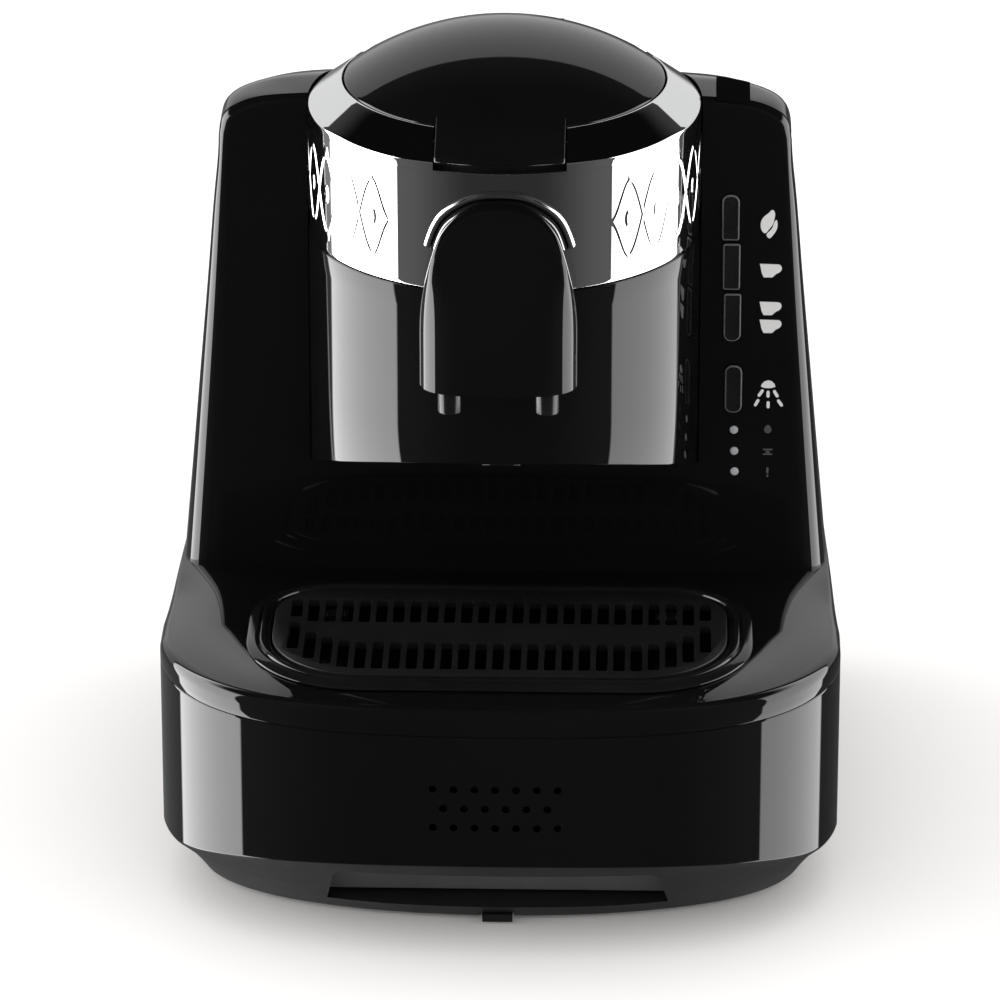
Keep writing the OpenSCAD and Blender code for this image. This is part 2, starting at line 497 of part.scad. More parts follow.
module serving_tube() color(steel) difference() {
    union() {
        translate([0, -49, 190]) cylinder(r = 3, h = 51, $fn = 32);
        translate([0, -55, 241]) rotate([90, 0, 90]) rotate_extrude(angle = 90) translate([6, 0]) circle(r = 3, $fn = 32);
        translate([0, -55, 247]) rotate([90, 0, 0]) cylinder(r = 3, h = 33.5, $fn = 32);
    }
    translate([0, -49, 189]) cylinder(r = 2, h = 52, $fn = 32);
    translate([0, -55, 247]) rotate([90, 0, 0]) cylinder(r = 2, h = 40, $fn = 32);
}

// ---- spout ------------------------------------------------------------------
arch = [[27.4, 201.5], [27.4, 214], [27.2, 227], [25.3, 241], [22.7, 251], [19.5, 257.5], [13.8, 262.5], [7.5, 265.5], [0, 266.4]];
function sym(h) = concat(h, [for (i = [len(h) - 2:-1:0]) [-h[i][0], h[i][1]]]);
function arch_p(g) = sym([for (q = arch) [q[0] * (spout_hw - g) / 27.4, q[1] == 201.5 ? (g > 0 ? 199 : 201.5) : 214 + (q[1] - 214) * (52.4 - g) / 52.4]]);
function spout_side(g) = [[-50, g > 0 ? 199 : 201.5], [-95 + g, g > 0 ? 199 : 201.5], [-95.3 + g, 215], [-94.4 + g, 230], [-92 + g, 243], [-87 + g, 253.6 - g / 3],
    [-80 + g / 2, 261.6 - g], [-72, 266.6 - g], [-50, 268 - g]];
function spout_plan(g) = sym([[28.5 - g, -50], [28.5 - g, -80], [27 - g, -85.4 + g / 3], [23.6 - g * 0.8, -90 + g * 0.7], [17 - g / 2, -93.4 + g], [9, -95.2 + g], [0, -95.8 + g]]);
module spout_body(g) at_cyl() intersection() {
    front(arch_p(g), -40, 70);
    side(spout_side(g), 40);
    translate([0, 0, 190]) linear_extrude(90) polygon(spout_plan(g));
}
module spout_cover() color(black) difference() {
    spout_body(0);
    spout_body(2.2);
    at_cyl() translate([0, 0, 180]) cylinder(r = cyl_r + 0.05, h = 100);
}
module spout_trim() color(chrome) difference() {
    intersection() {
        front([for (q = arch_p(0)) [q[0] * 1.09, q[1] + 1.9 * (q[1] - 214) / 52]], -40, 70);
        at_cyl() translate([0, 0, 249]) cylinder(r = cyl_r + 3, h = 30);
    }
    front([for (q = arch_p(0)) [q[0] * 1.005, q[1] > 220 ? q[1] + 0.1 : 190]], -30, 90);
    at_cyl() translate([0, 0, 240]) cylinder(r = cyl_r + 0.02, h = 50);
}
module spout_underplate() color(soft_black) difference() {
    intersection() { spout_body(2.3); translate([-40, -140, 203]) cube([80, 100, 2.2]); }
    at_cyl() translate([0, 0, 180]) cylinder(r = cyl_r + 0.1, h = 60);
    for (s = [-1, 1]) translate([s * nozzle_x, cyl_y - 83, 190]) cylinder(d = nozzle_d, h = 30, $fn = 48);
}
module spout_manifold() color([0.7, 0.7, 0.68]) difference() {
    union() {
        translate([0, cyl_y - 80.5, 212]) cylinder(r = 4.6, h = 39, $fn = 48);
        translate([-nozzle_x - 4.6, cyl_y - 83, 212]) rotate([0, 90, 0]) cylinder(r = 4.6, h = 2 * nozzle_x + 9.2, $fn = 48);
    }
    translate([0, cyl_y - 80.5, 212]) cylinder(r = 2.6, h = 37.4, $fn = 32);
    translate([-nozzle_x - 1, cyl_y - 83, 212]) rotate([0, 90, 0]) cylinder(r = 2.6, h = 2 * nozzle_x + 2, $fn = 32);
    for (s = [-1, 1]) translate([s * nozzle_x, cyl_y - 83, 200]) { cylinder(r = 2.6, h = 12, $fn = 32); cylinder(d = nozzle_d, h = 8.4, $fn = 48); }
    translate([0, -80, 247]) rotate([90, 0, 0]) cylinder(r = 3.05, h = 12, $fn = 32);
}
module spout_nozzles() color(soft_black) for (s = [-1, 1]) translate([s * nozzle_x, cyl_y - 83, 0]) difference() {
    union() {
        translate([0, 0, 191.5]) cylinder(d = nozzle_d, h = 16.5, $fn = 48);
        translate([0, 0, 205.2]) cylinder(r = 5.4, h = 1.4, $fn = 48);
    }
    translate([0, 0, 190]) cylinder(r = 2.8, h = 30, $fn = 32);
}

// ---- controls ----------------------------------------------------------------
module key(b) color(soft_black) {
    f = panel_y(b[0]);
    key_at(b) translate([0, 0, -(f + 4.8)]) {
        linear_extrude(4.8 + button_proud) key_shape(button_w, b[1], b[2], b[3]);
        linear_extrude(1.3) key_shape(button_w + 2.4, b[1] + 1.2, 1.5, 1.5);
    }
}
module button_slow_brew() key(buttons[0]);
module button_one_cup() key(buttons[1]);
module button_two_cups() key(buttons[2]);
module button_clean() key(buttons[3]);
module button_board() color([0.1, 0.3, 0.15]) {
    translate([74, 1.5, 128]) cube([22, 1.6, 124]);
    for (b = buttons) translate([col_x(b[0]) - 3, panel_y(b[0]) + 6.6, b[0] - 3]) cube([6, 1.5 - (panel_y(b[0]) + 6.6), 6]);
    for (z = leds) translate([col_x(z), 1.5, z]) rotate([90, 0, 0]) cylinder(r = 1.5, h = 1.5 - panel_y(z) - 4.1, $fn = 24);
}
module led_lenses() color([0.95, 0.95, 0.97]) for (z = leds)
    translate([col_x(z), panel_y(z) + 4, z]) rotate([90, 0, 0]) cylinder(d = led_d, h = 4.3, $fn = 32);

// ---- inside the base ------------------------------------------------------------
module water_pump() color([0.75, 0.75, 0.78]) translate([-80, 0, 26]) {
    translate([0, 40, 0]) rotate([-90, 0, 0]) cylinder(r = 14, h = 30, $fn = 64);
    translate([-16, 44, -16]) cube([32, 22, 32]);
    translate([0, 70, 0]) rotate([-90, 0, 0]) cylinder(r = 8, h = 26, $fn = 48);
    translate([0, 28, 0]) rotate([-90, 0, 0]) cylinder(r = 5, h = 12, $fn = 48);
}
module pump_mounts() color([0.08, 0.08, 0.08]) for (y = [31, 78]) difference() {
    translate([-92, y, 4.4]) cube([24, 6, 30]);
    translate([-80, y - 1, 26]) rotate([-90, 0, 0]) cylinder(r = y > 50 ? 8 : 5, h = 8, $fn = 48);
}
module air_pump() color([0.3, 0.3, 0.33]) {
    translate([66, 40, 4.4]) cube([34, 34, 30]);
    translate([78, 74, 20]) rotate([-90, 0, 0]) cylinder(r = 12, h = 24, $fn = 64);
    translate([83, 60, 34.4]) cylinder(r = 3, h = 8, $fn = 32);
}
module water_hose() color([0.85, 0.85, 0.85]) {
    run([[0, 110, 96], [0, 110, 60], [-80, 110, 60], [-80, 110, 26], [-80, 96, 26]], 3);
    run([[-80, 28, 26], [-80, 18, 26], [-80, 18, 71], [-20, 68, 84], [-20, 68, 247], [-20, 39.5, 247]], 2.6);
}
module air_hose() color([0.8, 0.5, 0.4]) run([[83, 60, 42.4], [83, 60, 72], [20, 68, 84], [20, 68, 247], [20, 39.5, 247]], 2.6);
module control_board() color([0.1, 0.32, 0.16]) {
    translate([-98, -58, 40]) cube([40, 66, 1.6]);
    translate([-94, -50, 41.6]) cube([14, 18, 12]);
    translate([-74, -46, 41.6]) cylinder(r = 6, h = 16, $fn = 48);
    translate([-90, -20, 41.6]) cube([18, 10, 8]);
    translate([-66, -14, 41.6]) cylinder(r = 4, h = 10, $fn = 32);
}
module power_supply() color([0.5, 0.45, 0.35]) {
    translate([60, -53, 4.4]) cube([32, 43, 4]);
    translate([62, -50, 8.4]) cube([28, 37, 30]);
    translate([66, -53, 12]) cube([20, 43, 22]);
}
module speaker() color([0.2, 0.2, 0.2]) translate([0, -122, 58.5]) rotate([90, 0, 0]) {
    difference() {
        union() { cylinder(r = 20, h = 3, $fn = 64); translate([0, 0, -9]) cylinder(r = 11, h = 9, $fn = 48); translate([-28, -4, 0]) cube([56, 8, 3]); }
        translate([0, 0, 1]) cylinder(r = 17, h = 5, $fn = 64);
    }
    translate([0, 0, 0.4]) cylinder(r = 6, h = 2, $fn = 48);
}
module rocker_frame() color(black) difference() {
    translate([50, 120, 42]) cube([22, 14.8, 14]);
    translate([51.6, 124, 43.6]) cube([18.8, 20, 10.8]);
    translate([49, 130.5, 49]) rotate([0, 90, 0]) cylinder(r = 1.05, h = 24, $fn = 32);
}
module power_rocker() color(soft_black) {
    translate([0, 130.5, 49]) rotate([-7, 0, 0]) translate([0, -130.5, -49]) difference() {
        side3([[127.5, 45.2], [131.5, 44.4], [133.4, 44.6], [132.2, 49], [133.4, 53.4], [131.5, 53.6], [127.5, 52.8]], 52.1, 17.8);
    }
    translate([50.2, 130.5, 49]) rotate([0, 90, 0]) cylinder(r = 1, h = 21.6, $fn = 32);
}
module side3(p, x, l) translate([x, 0, 0]) rotate([90, 0, 90]) linear_extrude(l) polygon(p);
module cord_gland() color([0.06, 0.06, 0.06]) translate([-60, 0, 49]) rotate([-90, 0, 0]) difference() {
    union() {
        translate([0, 0, 120]) cylinder(r = 7, h = 11);
        translate([0, 0, 129.2]) cylinder(r = 10, h = 3.1);
        // plate that fills the notch
        translate([-6.9, -6.9, 130.4]) cube([13.8, 31.7, 4.5]);
    }
    translate([0, 0, 110]) cylinder(r = 3.8, h = 40);
}
module rubber_feet() color([0.05, 0.05, 0.05]) for (q = feet_at) translate([q[0], q[1], 0]) {
    cylinder(r1 = 8.4, r2 = 9, h = 2, $fn = 48);
    cylinder(r = 2.95, h = 5.4, $fn = 32);
}
module base_screws() color(steel) for (q = screw_at) translate([q[0], q[1], 0]) difference() {
    union() { translate([0, 0, 0.8]) cylinder(r = 3.2, h = 1.2, $fn = 32); cylinder_above(); }
    for (a = [0, 90]) rotate([0, 0, a]) translate([-2, -0.4, 0]) cube([4, 0.8, 1.3]);
}
module cylinder_above() translate([0, 0, 1.9]) cylinder(r = 1.45, h = 14, $fn = 32);

base_plate();
base_skirt();
base_housing();
base_top_cover();
tower_front_panel();
tower_rear_shell();
tower_top_cover();
top_cover_insert();
tank_bay_liner();
cylinder_body();
cylinder_floor();
cup_light_lens();
chrome_band();
lid_hinge_bracket();
lid_hinge_pin();
lid_dome();
lid_tab();
lid_liner();
lid_gasket();
pot_holder();
brew_pot();
pot_gasket();
heater_plate();
heater_ring();
thermostat();
serving_tube();
spout_trim();
spout_cover();
spout_underplate();
spout_manifold();
spout_nozzles();
drip_tray();
cup_grille();
drain_funnel();
waste_drawer();
drawer_front();
button_slow_brew();
button_one_cup();
button_two_cups();
button_clean();
button_board();
led_lenses();
water_tank();
tank_lid();
tank_lid_pin();
tank_valve();
tank_seat();
water_pump();
pump_mounts();
air_pump();
water_hose();
air_hose();
control_board();
power_supply();
speaker();
rocker_frame();
power_rocker();
cord_gland();
rubber_feet();
base_screws();
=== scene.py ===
# Electric Turkish coffee maker: the visual model. Lengths in the helpers are millimetres, turned to metres at the mesh.
import json
import math

import bmesh
import bpy
import numpy as np
from mathutils import Matrix, Vector
from mathutils.bvhtree import BVHTree
from mathutils.interpolate import poly_3d_calc
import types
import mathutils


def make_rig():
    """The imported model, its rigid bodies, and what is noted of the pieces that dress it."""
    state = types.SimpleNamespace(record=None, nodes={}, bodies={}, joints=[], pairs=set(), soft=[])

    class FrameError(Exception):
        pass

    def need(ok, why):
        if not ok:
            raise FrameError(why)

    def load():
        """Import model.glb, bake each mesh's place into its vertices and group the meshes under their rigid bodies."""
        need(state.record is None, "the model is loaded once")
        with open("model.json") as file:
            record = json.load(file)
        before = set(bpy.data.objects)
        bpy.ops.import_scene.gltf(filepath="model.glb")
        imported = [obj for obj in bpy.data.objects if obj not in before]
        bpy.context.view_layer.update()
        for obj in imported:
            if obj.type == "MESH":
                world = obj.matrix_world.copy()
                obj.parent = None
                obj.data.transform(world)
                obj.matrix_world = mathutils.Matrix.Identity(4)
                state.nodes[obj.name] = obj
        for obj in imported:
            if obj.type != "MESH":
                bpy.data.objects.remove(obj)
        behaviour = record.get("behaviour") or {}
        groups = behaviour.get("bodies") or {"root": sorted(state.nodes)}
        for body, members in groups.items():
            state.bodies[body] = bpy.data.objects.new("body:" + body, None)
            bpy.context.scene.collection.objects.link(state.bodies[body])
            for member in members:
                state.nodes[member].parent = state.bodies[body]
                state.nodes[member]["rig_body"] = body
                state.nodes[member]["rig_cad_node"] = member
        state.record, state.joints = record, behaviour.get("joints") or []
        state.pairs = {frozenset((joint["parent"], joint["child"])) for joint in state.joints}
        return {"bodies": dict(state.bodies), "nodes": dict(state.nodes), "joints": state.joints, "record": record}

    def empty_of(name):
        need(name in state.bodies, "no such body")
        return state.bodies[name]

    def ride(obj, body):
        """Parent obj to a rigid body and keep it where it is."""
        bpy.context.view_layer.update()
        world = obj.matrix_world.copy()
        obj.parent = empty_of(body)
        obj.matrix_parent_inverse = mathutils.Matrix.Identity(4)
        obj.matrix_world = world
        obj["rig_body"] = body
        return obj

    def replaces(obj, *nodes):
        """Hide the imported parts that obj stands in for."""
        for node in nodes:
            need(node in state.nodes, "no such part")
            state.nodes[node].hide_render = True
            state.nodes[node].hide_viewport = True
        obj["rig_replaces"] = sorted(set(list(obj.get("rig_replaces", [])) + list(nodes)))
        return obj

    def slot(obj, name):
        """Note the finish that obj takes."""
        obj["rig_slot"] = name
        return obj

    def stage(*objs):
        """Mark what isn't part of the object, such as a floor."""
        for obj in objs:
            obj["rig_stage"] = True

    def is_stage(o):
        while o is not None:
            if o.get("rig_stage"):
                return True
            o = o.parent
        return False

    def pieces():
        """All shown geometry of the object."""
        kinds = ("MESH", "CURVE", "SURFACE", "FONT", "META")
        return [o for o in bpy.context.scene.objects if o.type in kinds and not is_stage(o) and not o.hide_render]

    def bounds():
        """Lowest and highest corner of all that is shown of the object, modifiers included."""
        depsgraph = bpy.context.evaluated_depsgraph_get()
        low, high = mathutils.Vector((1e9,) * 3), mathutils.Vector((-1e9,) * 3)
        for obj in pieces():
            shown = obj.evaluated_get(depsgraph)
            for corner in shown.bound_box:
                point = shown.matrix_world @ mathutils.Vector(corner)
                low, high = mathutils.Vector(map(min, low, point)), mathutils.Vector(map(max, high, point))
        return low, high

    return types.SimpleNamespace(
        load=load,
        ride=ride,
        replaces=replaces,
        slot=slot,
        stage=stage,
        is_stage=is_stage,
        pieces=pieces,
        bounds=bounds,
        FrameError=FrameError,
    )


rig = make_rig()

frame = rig.load()
cad_lo, cad_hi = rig.bounds()
scene = bpy.context.scene
MM = 0.001
K = 720


# ---------------------------------------------------------------- mesh helpers
def add_object(name, mesh):
    ob = bpy.data.objects.new(name, mesh)
    scene.collection.objects.link(ob)
    return ob


def shade(me, sharp=32.0):
    me.polygons.foreach_set("use_smooth", [True] * len(me.polygons))
    me.set_sharp_from_angle(angle=math.radians(sharp))
    me.update()


def add_mesh(name, verts, faces, sharp=32.0, weld=True):
    me = bpy.data.meshes.new(name)
    me.from_pydata((np.asarray(verts, float) * MM).tolist(), [], [tuple(int(i) for i in f) for f in faces])
    me.update()
    bm = bmesh.new()
    bm.from_mesh(me)
    if weld:
        bmesh.ops.remove_doubles(bm, verts=bm.verts, dist=2e-6)
        bmesh.ops.dissolve_degenerate(bm, edges=bm.edges, dist=1e-7)
    bmesh.ops.recalc_face_normals(bm, faces=bm.faces)
    bm.to_mesh(me)
    bm.free()
    shade(me, sharp)
    return add_object(name, me)


def grid_faces(n, m, loop_u=True, loop_v=False, base=0):
    out = []
    for i in range(n if loop_v else n - 1):
        a, b = base + i * m, base + ((i + 1) % n) * m
        for j in range(m if loop_u else m - 1):
            k = (j + 1) % m
            out.append((a + j, a + k, b + k, b + j))
    return out


def loft(name, rows, loop_u=True, loop_v=False, caps=(False, False), sharp=32.0):
    rows = [np.asarray(r, float) for r in rows]
    m = len(rows[0])
    f = grid_faces(len(rows), m, loop_u, loop_v)
    if caps[0]:
        f.append(tuple(range(m))[::-1])
    if caps[1]:
        f.append(tuple(range((len(rows) - 1) * m, len(rows) * m)))
    return add_mesh(name, np.concatenate(rows), f, sharp)


def applied(ob):
    dg = bpy.context.evaluated_depsgraph_get()
    me = bpy.data.meshes.new_from_object(ob.evaluated_get(dg))
    ob.modifiers.clear()
    ob.data = me
    return ob


def cut(ob, *cutters, op="DIFFERENCE"):
    for c in cutters:
        m = ob.modifiers.new("cut", "BOOLEAN")
        m.operation, m.object, m.solver = op, c, "EXACT"
    applied(ob)
    for c in cutters:
        bpy.data.objects.remove(c)
    return ob


def like(ob, ref, angle=28.0, reach=0.06):
    """The surface of ob that lies on ref's surface keeps ref's smooth normals, so that a cut leaves no ripple."""
    rm = ref if isinstance(ref, bpy.types.Mesh) else ref.data
    v = [p.co.copy() for p in rm.vertices]
    bvh = BVHTree.FromPolygons(v, [tuple(p.vertices) for p in rm.polygons])
    cn = [Vector(c.vector) for c in rm.corner_normals]
    me = ob.data
    own = [Vector(c.vector) for c in me.corner_normals]
    lim = math.cos(math.radians(angle))
    for p in me.polygons:
        c, n = p.center, p.normal
        for li in p.loop_indices:
            co = me.vertices[me.loops[li].vertex_index].co
            d = c - co
            q = co + d * min(0.02, 1e-5 / max(d.length, 1e-9))
            hit, hn, idx, dist = bvh.find_nearest(q, reach * MM)
            if idx is None or hn.dot(n) < lim:
                continue
            rp = rm.polygons[idx]
            w = poly_3d_calc([v[i] for i in rp.vertices], hit)
            s = Vector((0, 0, 0))
            for a, l in zip(w, rp.loop_indices):
                s += cn[l] * a
            if s.length > 0.5 and s.normalized().dot(n) > lim:
                own[li] = s.normalized()
    me.normals_split_custom_set([tuple(n) for n in own])
    me.update()
    return ob


def join(name, *obs):
    bm = bmesh.new()
    for o in obs:
        bm.from_mesh(o.data)
    me = bpy.data.meshes.new(name)
    bm.to_mesh(me)
    bm.free()
    for o in obs:
        bpy.data.objects.remove(o)
    return add_object(name, me)


def prism(poly, axis, a, b, name="cutter"):
    """poly: 2D points; axis 'y': (x, z) drawn along Y, 'z': (x, y) along Z, 'x': (y, z) along X."""
    p = np.asarray(poly, float)
    out = []
    for t in (a, b):
        t = np.full(len(p), t)
        out.append(np.stack({"y": (p[:, 0], t, p[:, 1]), "z": (p[:, 0], p[:, 1], t), "x": (t, p[:, 0], p[:, 1])}[axis], 1))
    return loft(name, out, caps=(True, True), sharp=30)


def circle(cx, cy, r, n=48):
    t = 2 * np.pi * np.arange(n) / n
    return np.stack([cx + r * np.cos(t), cy + r * np.sin(t)], 1)


def box_poly(x0, y0, x1, y1):
    return [[x0, y0], [x1, y0], [x1, y1], [x0, y1]]


def bevel(ob, width, segments=2, angle=40.0):
    m = ob.modifiers.new("edge", "BEVEL")
    m.width, m.segments, m.limit_method, m.angle_limit = width * MM, segments, "ANGLE", math.radians(angle)
    m.harden_normals = False
    m.use_clamp_overlap = True
    return ob


# ---------------------------------------------------------------- curves
def spline(P, n, closed=True):
    """A cubic spline by chord length through P."""
    P = np.asarray(P, float)
    k = len(P)
    if closed:
        h = np.linalg.norm(np.roll(P, -1, 0) - P, axis=1)
        A, B = np.zeros((k, k)), np.zeros_like(P)
        for i in range(k):
            A[i, i - 1] += h[i - 1]
            A[i, i] += 2 * (h[i - 1] + h[i])
            A[i, (i + 1) % k] += h[i]
            B[i] = 6 * ((P[(i + 1) % k] - P[i]) / h[i] - (P[i] - P[i - 1]) / h[i - 1])
        M = np.linalg.solve(A, B)
        seg = range(k)
    else:
        h = np.linalg.norm(np.diff(P, axis=0), axis=1)
        A, B = np.eye(k), np.zeros_like(P)
        for i in range(1, k - 1):
            A[i, i - 1], A[i, i], A[i, i + 1] = h[i - 1], 2 * (h[i - 1] + h[i]), h[i]
            B[i] = 6 * ((P[i + 1] - P[i]) / h[i] - (P[i] - P[i - 1]) / h[i - 1])
        M = np.linalg.solve(A, B)
        seg = range(k - 1)
    t = (np.arange(n) / n)[:, None]
    a, b = 1 - t, t
    out = [a * P[i] + b * P[(i + 1) % k] + h[i] ** 2 / 6 * ((a ** 3 - a) * M[i] + (b ** 3 - b) * M[(i + 1) % k]) for i in seg]
    if not closed:
        out.append(P[-1:])
    return np.concatenate(out)


def mirrored(h):
    return h + [[-x, y] for x, y in h[-2:0:-1]]


def outline(h, n=40):
    p = spline(mirrored(h), n)
    p[:, 1] = np.clip(p[:, 1], -135, 135)
    p[:, 0] = np.clip(p[:, 0], -121.5, 121.5)
    return p


def dense(p, step=0.4, closed=True):
    p = np.asarray(p, float)
    q = np.concatenate([p, p[:1]]) if closed else p
    d = np.concatenate([[0], np.cumsum(np.linalg.norm(np.diff(q, axis=0), axis=1))])
    n = max(8, int(d[-1] / step))
    t = np.linspace(0, d[-1], n, endpoint=not closed)
    return np.stack([np.interp(t, d, q[:, i]) for i in range(q.shape[1])], 1)


def rrect(hw, yf, yb, rf, rb, n=24):
    a = np.radians(90 * np.arange(n + 1) / n)
    q = [np.stack([hw - rf + rf * np.sin(a), yf + rf - rf * np.cos(a)], 1),
         np.stack([hw - rb + rb * np.cos(a), yb - rb + rb * np.sin(a)], 1),
         np.stack([-hw + rb - rb * np.sin(a), yb - rb + rb * np.cos(a)], 1),
         np.stack([-hw + rf - rf * np.cos(a), yf + rf - rf * np.sin(a)], 1)]
    return dense(np.concatenate(q))


def offset(p, d):
    """Moves a counter-clockwise outline inwards by d."""
    t = np.roll(p, -1, 0) - np.roll(p, 1, 0)
    t /= np.maximum(np.linalg.norm(t, axis=1), 1e-9)[:, None]
    return p - d * np.stack([t[:, 1], -t[:, 0]], 1)


TH = -np.pi / 2 + 2 * np.pi * np.arange(K) / K


def polar(p, c, th=TH):
    q = p - np.asarray(c, float)
    a = np.arctan2(q[:, 1], q[:, 0])
    o = np.argsort(a)
    a, q = a[o], q[o]
    a = np.concatenate([a - 2 * np.pi, a, a + 2 * np.pi])
    return np.stack([np.interp(th, a, np.tile(q[:, i], 3)) for i in (0, 1)], 1) + c


def ring(p, c, inset, z):
    q = polar(offset(p, inset) if inset else p, c)
    z = z(q[:, 0], q[:, 1]) if callable(z) else np.broadcast_to(z, (len(q),))
    return np.column_stack([q, z])


def lathe(name, prof, cx=0.0, cy=-9.0, n=K, loop_v=True, sharp=32.0, zf=None):
    """prof: (r, z) points. zf(x, y, z) may move a point's height."""
    th = -np.pi / 2 + 2 * np.pi * np.arange(n) / n
    rows = []
    for r, z in prof:
        x, y = cx + r * np.cos(th), cy + r * np.sin(th)
        zz = np.full(n, float(z)) if zf is None else zf(x, y, z)
        rows.append(np.column_stack([x, y, zz]))
    return loft(name, rows, loop_v=loop_v, sharp=sharp)


def smooth01(x):
    x = np.clip(x, 0, 1)
    return x * x * (3 - 2 * x)


# ---------------------------------------------------------------- materials
def node_tree(mat):
    mat.use_nodes = True
    nt = mat.node_tree
    nt.nodes.clear()
    out = nt.nodes.new("ShaderNodeOutputMaterial")
    sh = nt.nodes.new("ShaderNodeBsdfPrincipled")
    nt.links.new(sh.outputs[0], out.inputs[0])
    return nt, sh


def noise(nt, coord, scale, detail=3.0, rough=0.5, stretch=None):
    n = nt.nodes.new("ShaderNodeTexNoise")
    n.inputs["Scale"].default_value = scale
    n.inputs["Detail"].default_value = detail
    n.inputs["Roughness"].default_value = rough
    if stretch:
        mp = nt.nodes.new("ShaderNodeMapping")
        mp.inputs["Scale"].default_value = stretch
        nt.links.new(coord, mp.inputs["Vector"])
        nt.links.new(mp.outputs[0], n.inputs["Vector"])
    else:
        nt.links.new(coord, n.inputs["Vector"])
    return n.outputs["Fac"]


def remap(nt, fac, lo, hi, a=0.3, b=0.7):
    m = nt.nodes.new("ShaderNodeMapRange")
    m.inputs["From Min"].default_value, m.inputs["From Max"].default_value = a, b
    m.inputs["To Min"].default_value, m.inputs["To Max"].default_value = lo, hi
    nt.links.new(fac, m.inputs["Value"])
    return m.outputs["Result"]


def mix_colour(nt, fac, a, b):
    m = nt.nodes.new("ShaderNodeMix")
    m.data_type = "RGBA"
    m.inputs["A"].default_value = (*a, 1)
    m.inputs["B"].default_value = (*b, 1)
    nt.links.new(fac, m.inputs["Factor"])
    return m.outputs["Result"]


def bump(nt, sh, height, strength, distance):
    b = nt.nodes.new("ShaderNodeBump")
    b.inputs["Strength"].default_value = strength
    b.inputs["Distance"].default_value = distance
    nt.links.new(height, b.inputs["Height"])
    nt.links.new(b.outputs[0], sh.inputs["Normal"])


def material(name, colour, colour2=None, rough=(0.3, 0.4), metallic=0.0, rscale=60, cscale=25, bscale=None, bstrength=0.1,
             bdist=0.00005, stretch=None, ior=1.5, transmission=0.0, alpha=None, coat=0.0, detail=3.0, sheen=0.0, emission=None):
    mat = bpy.data.materials.new(name)
    nt, sh = node_tree(mat)
    tc = nt.nodes.new("ShaderNodeTexCoord").outputs["Object"]
    nt.links.new(mix_colour(nt, remap(nt, noise(nt, tc, cscale, detail, 0.6, stretch), 0, 1), colour, colour2 or colour), sh.inputs["Base Color"])
    nt.links.new(remap(nt, noise(nt, tc, rscale, detail, 0.6, stretch), *rough), sh.inputs["Roughness"])
    if bscale:
        bump(nt, sh, noise(nt, tc, bscale, detail, 0.55, stretch), bstrength, bdist)
    sh.inputs["Metallic"].default_value = metallic
    sh.inputs["IOR"].default_value = ior
    if transmission:
        sh.inputs["Transmission Weight"].default_value = transmission
    if coat:
        sh.inputs["Coat Weight"].default_value = coat
        sh.inputs["Coat Roughness"].default_value = 0.03
    if sheen:
        sh.inputs["Sheen Weight"].default_value = sheen
    if emission:
        sh.inputs["Emission Color"].default_value = (*emission[:3], 1)
        sh.inputs["Emission Strength"].default_value = emission[3]
    if alpha is not None:
        sh.inputs["Alpha"].default_value = alpha
    return mat


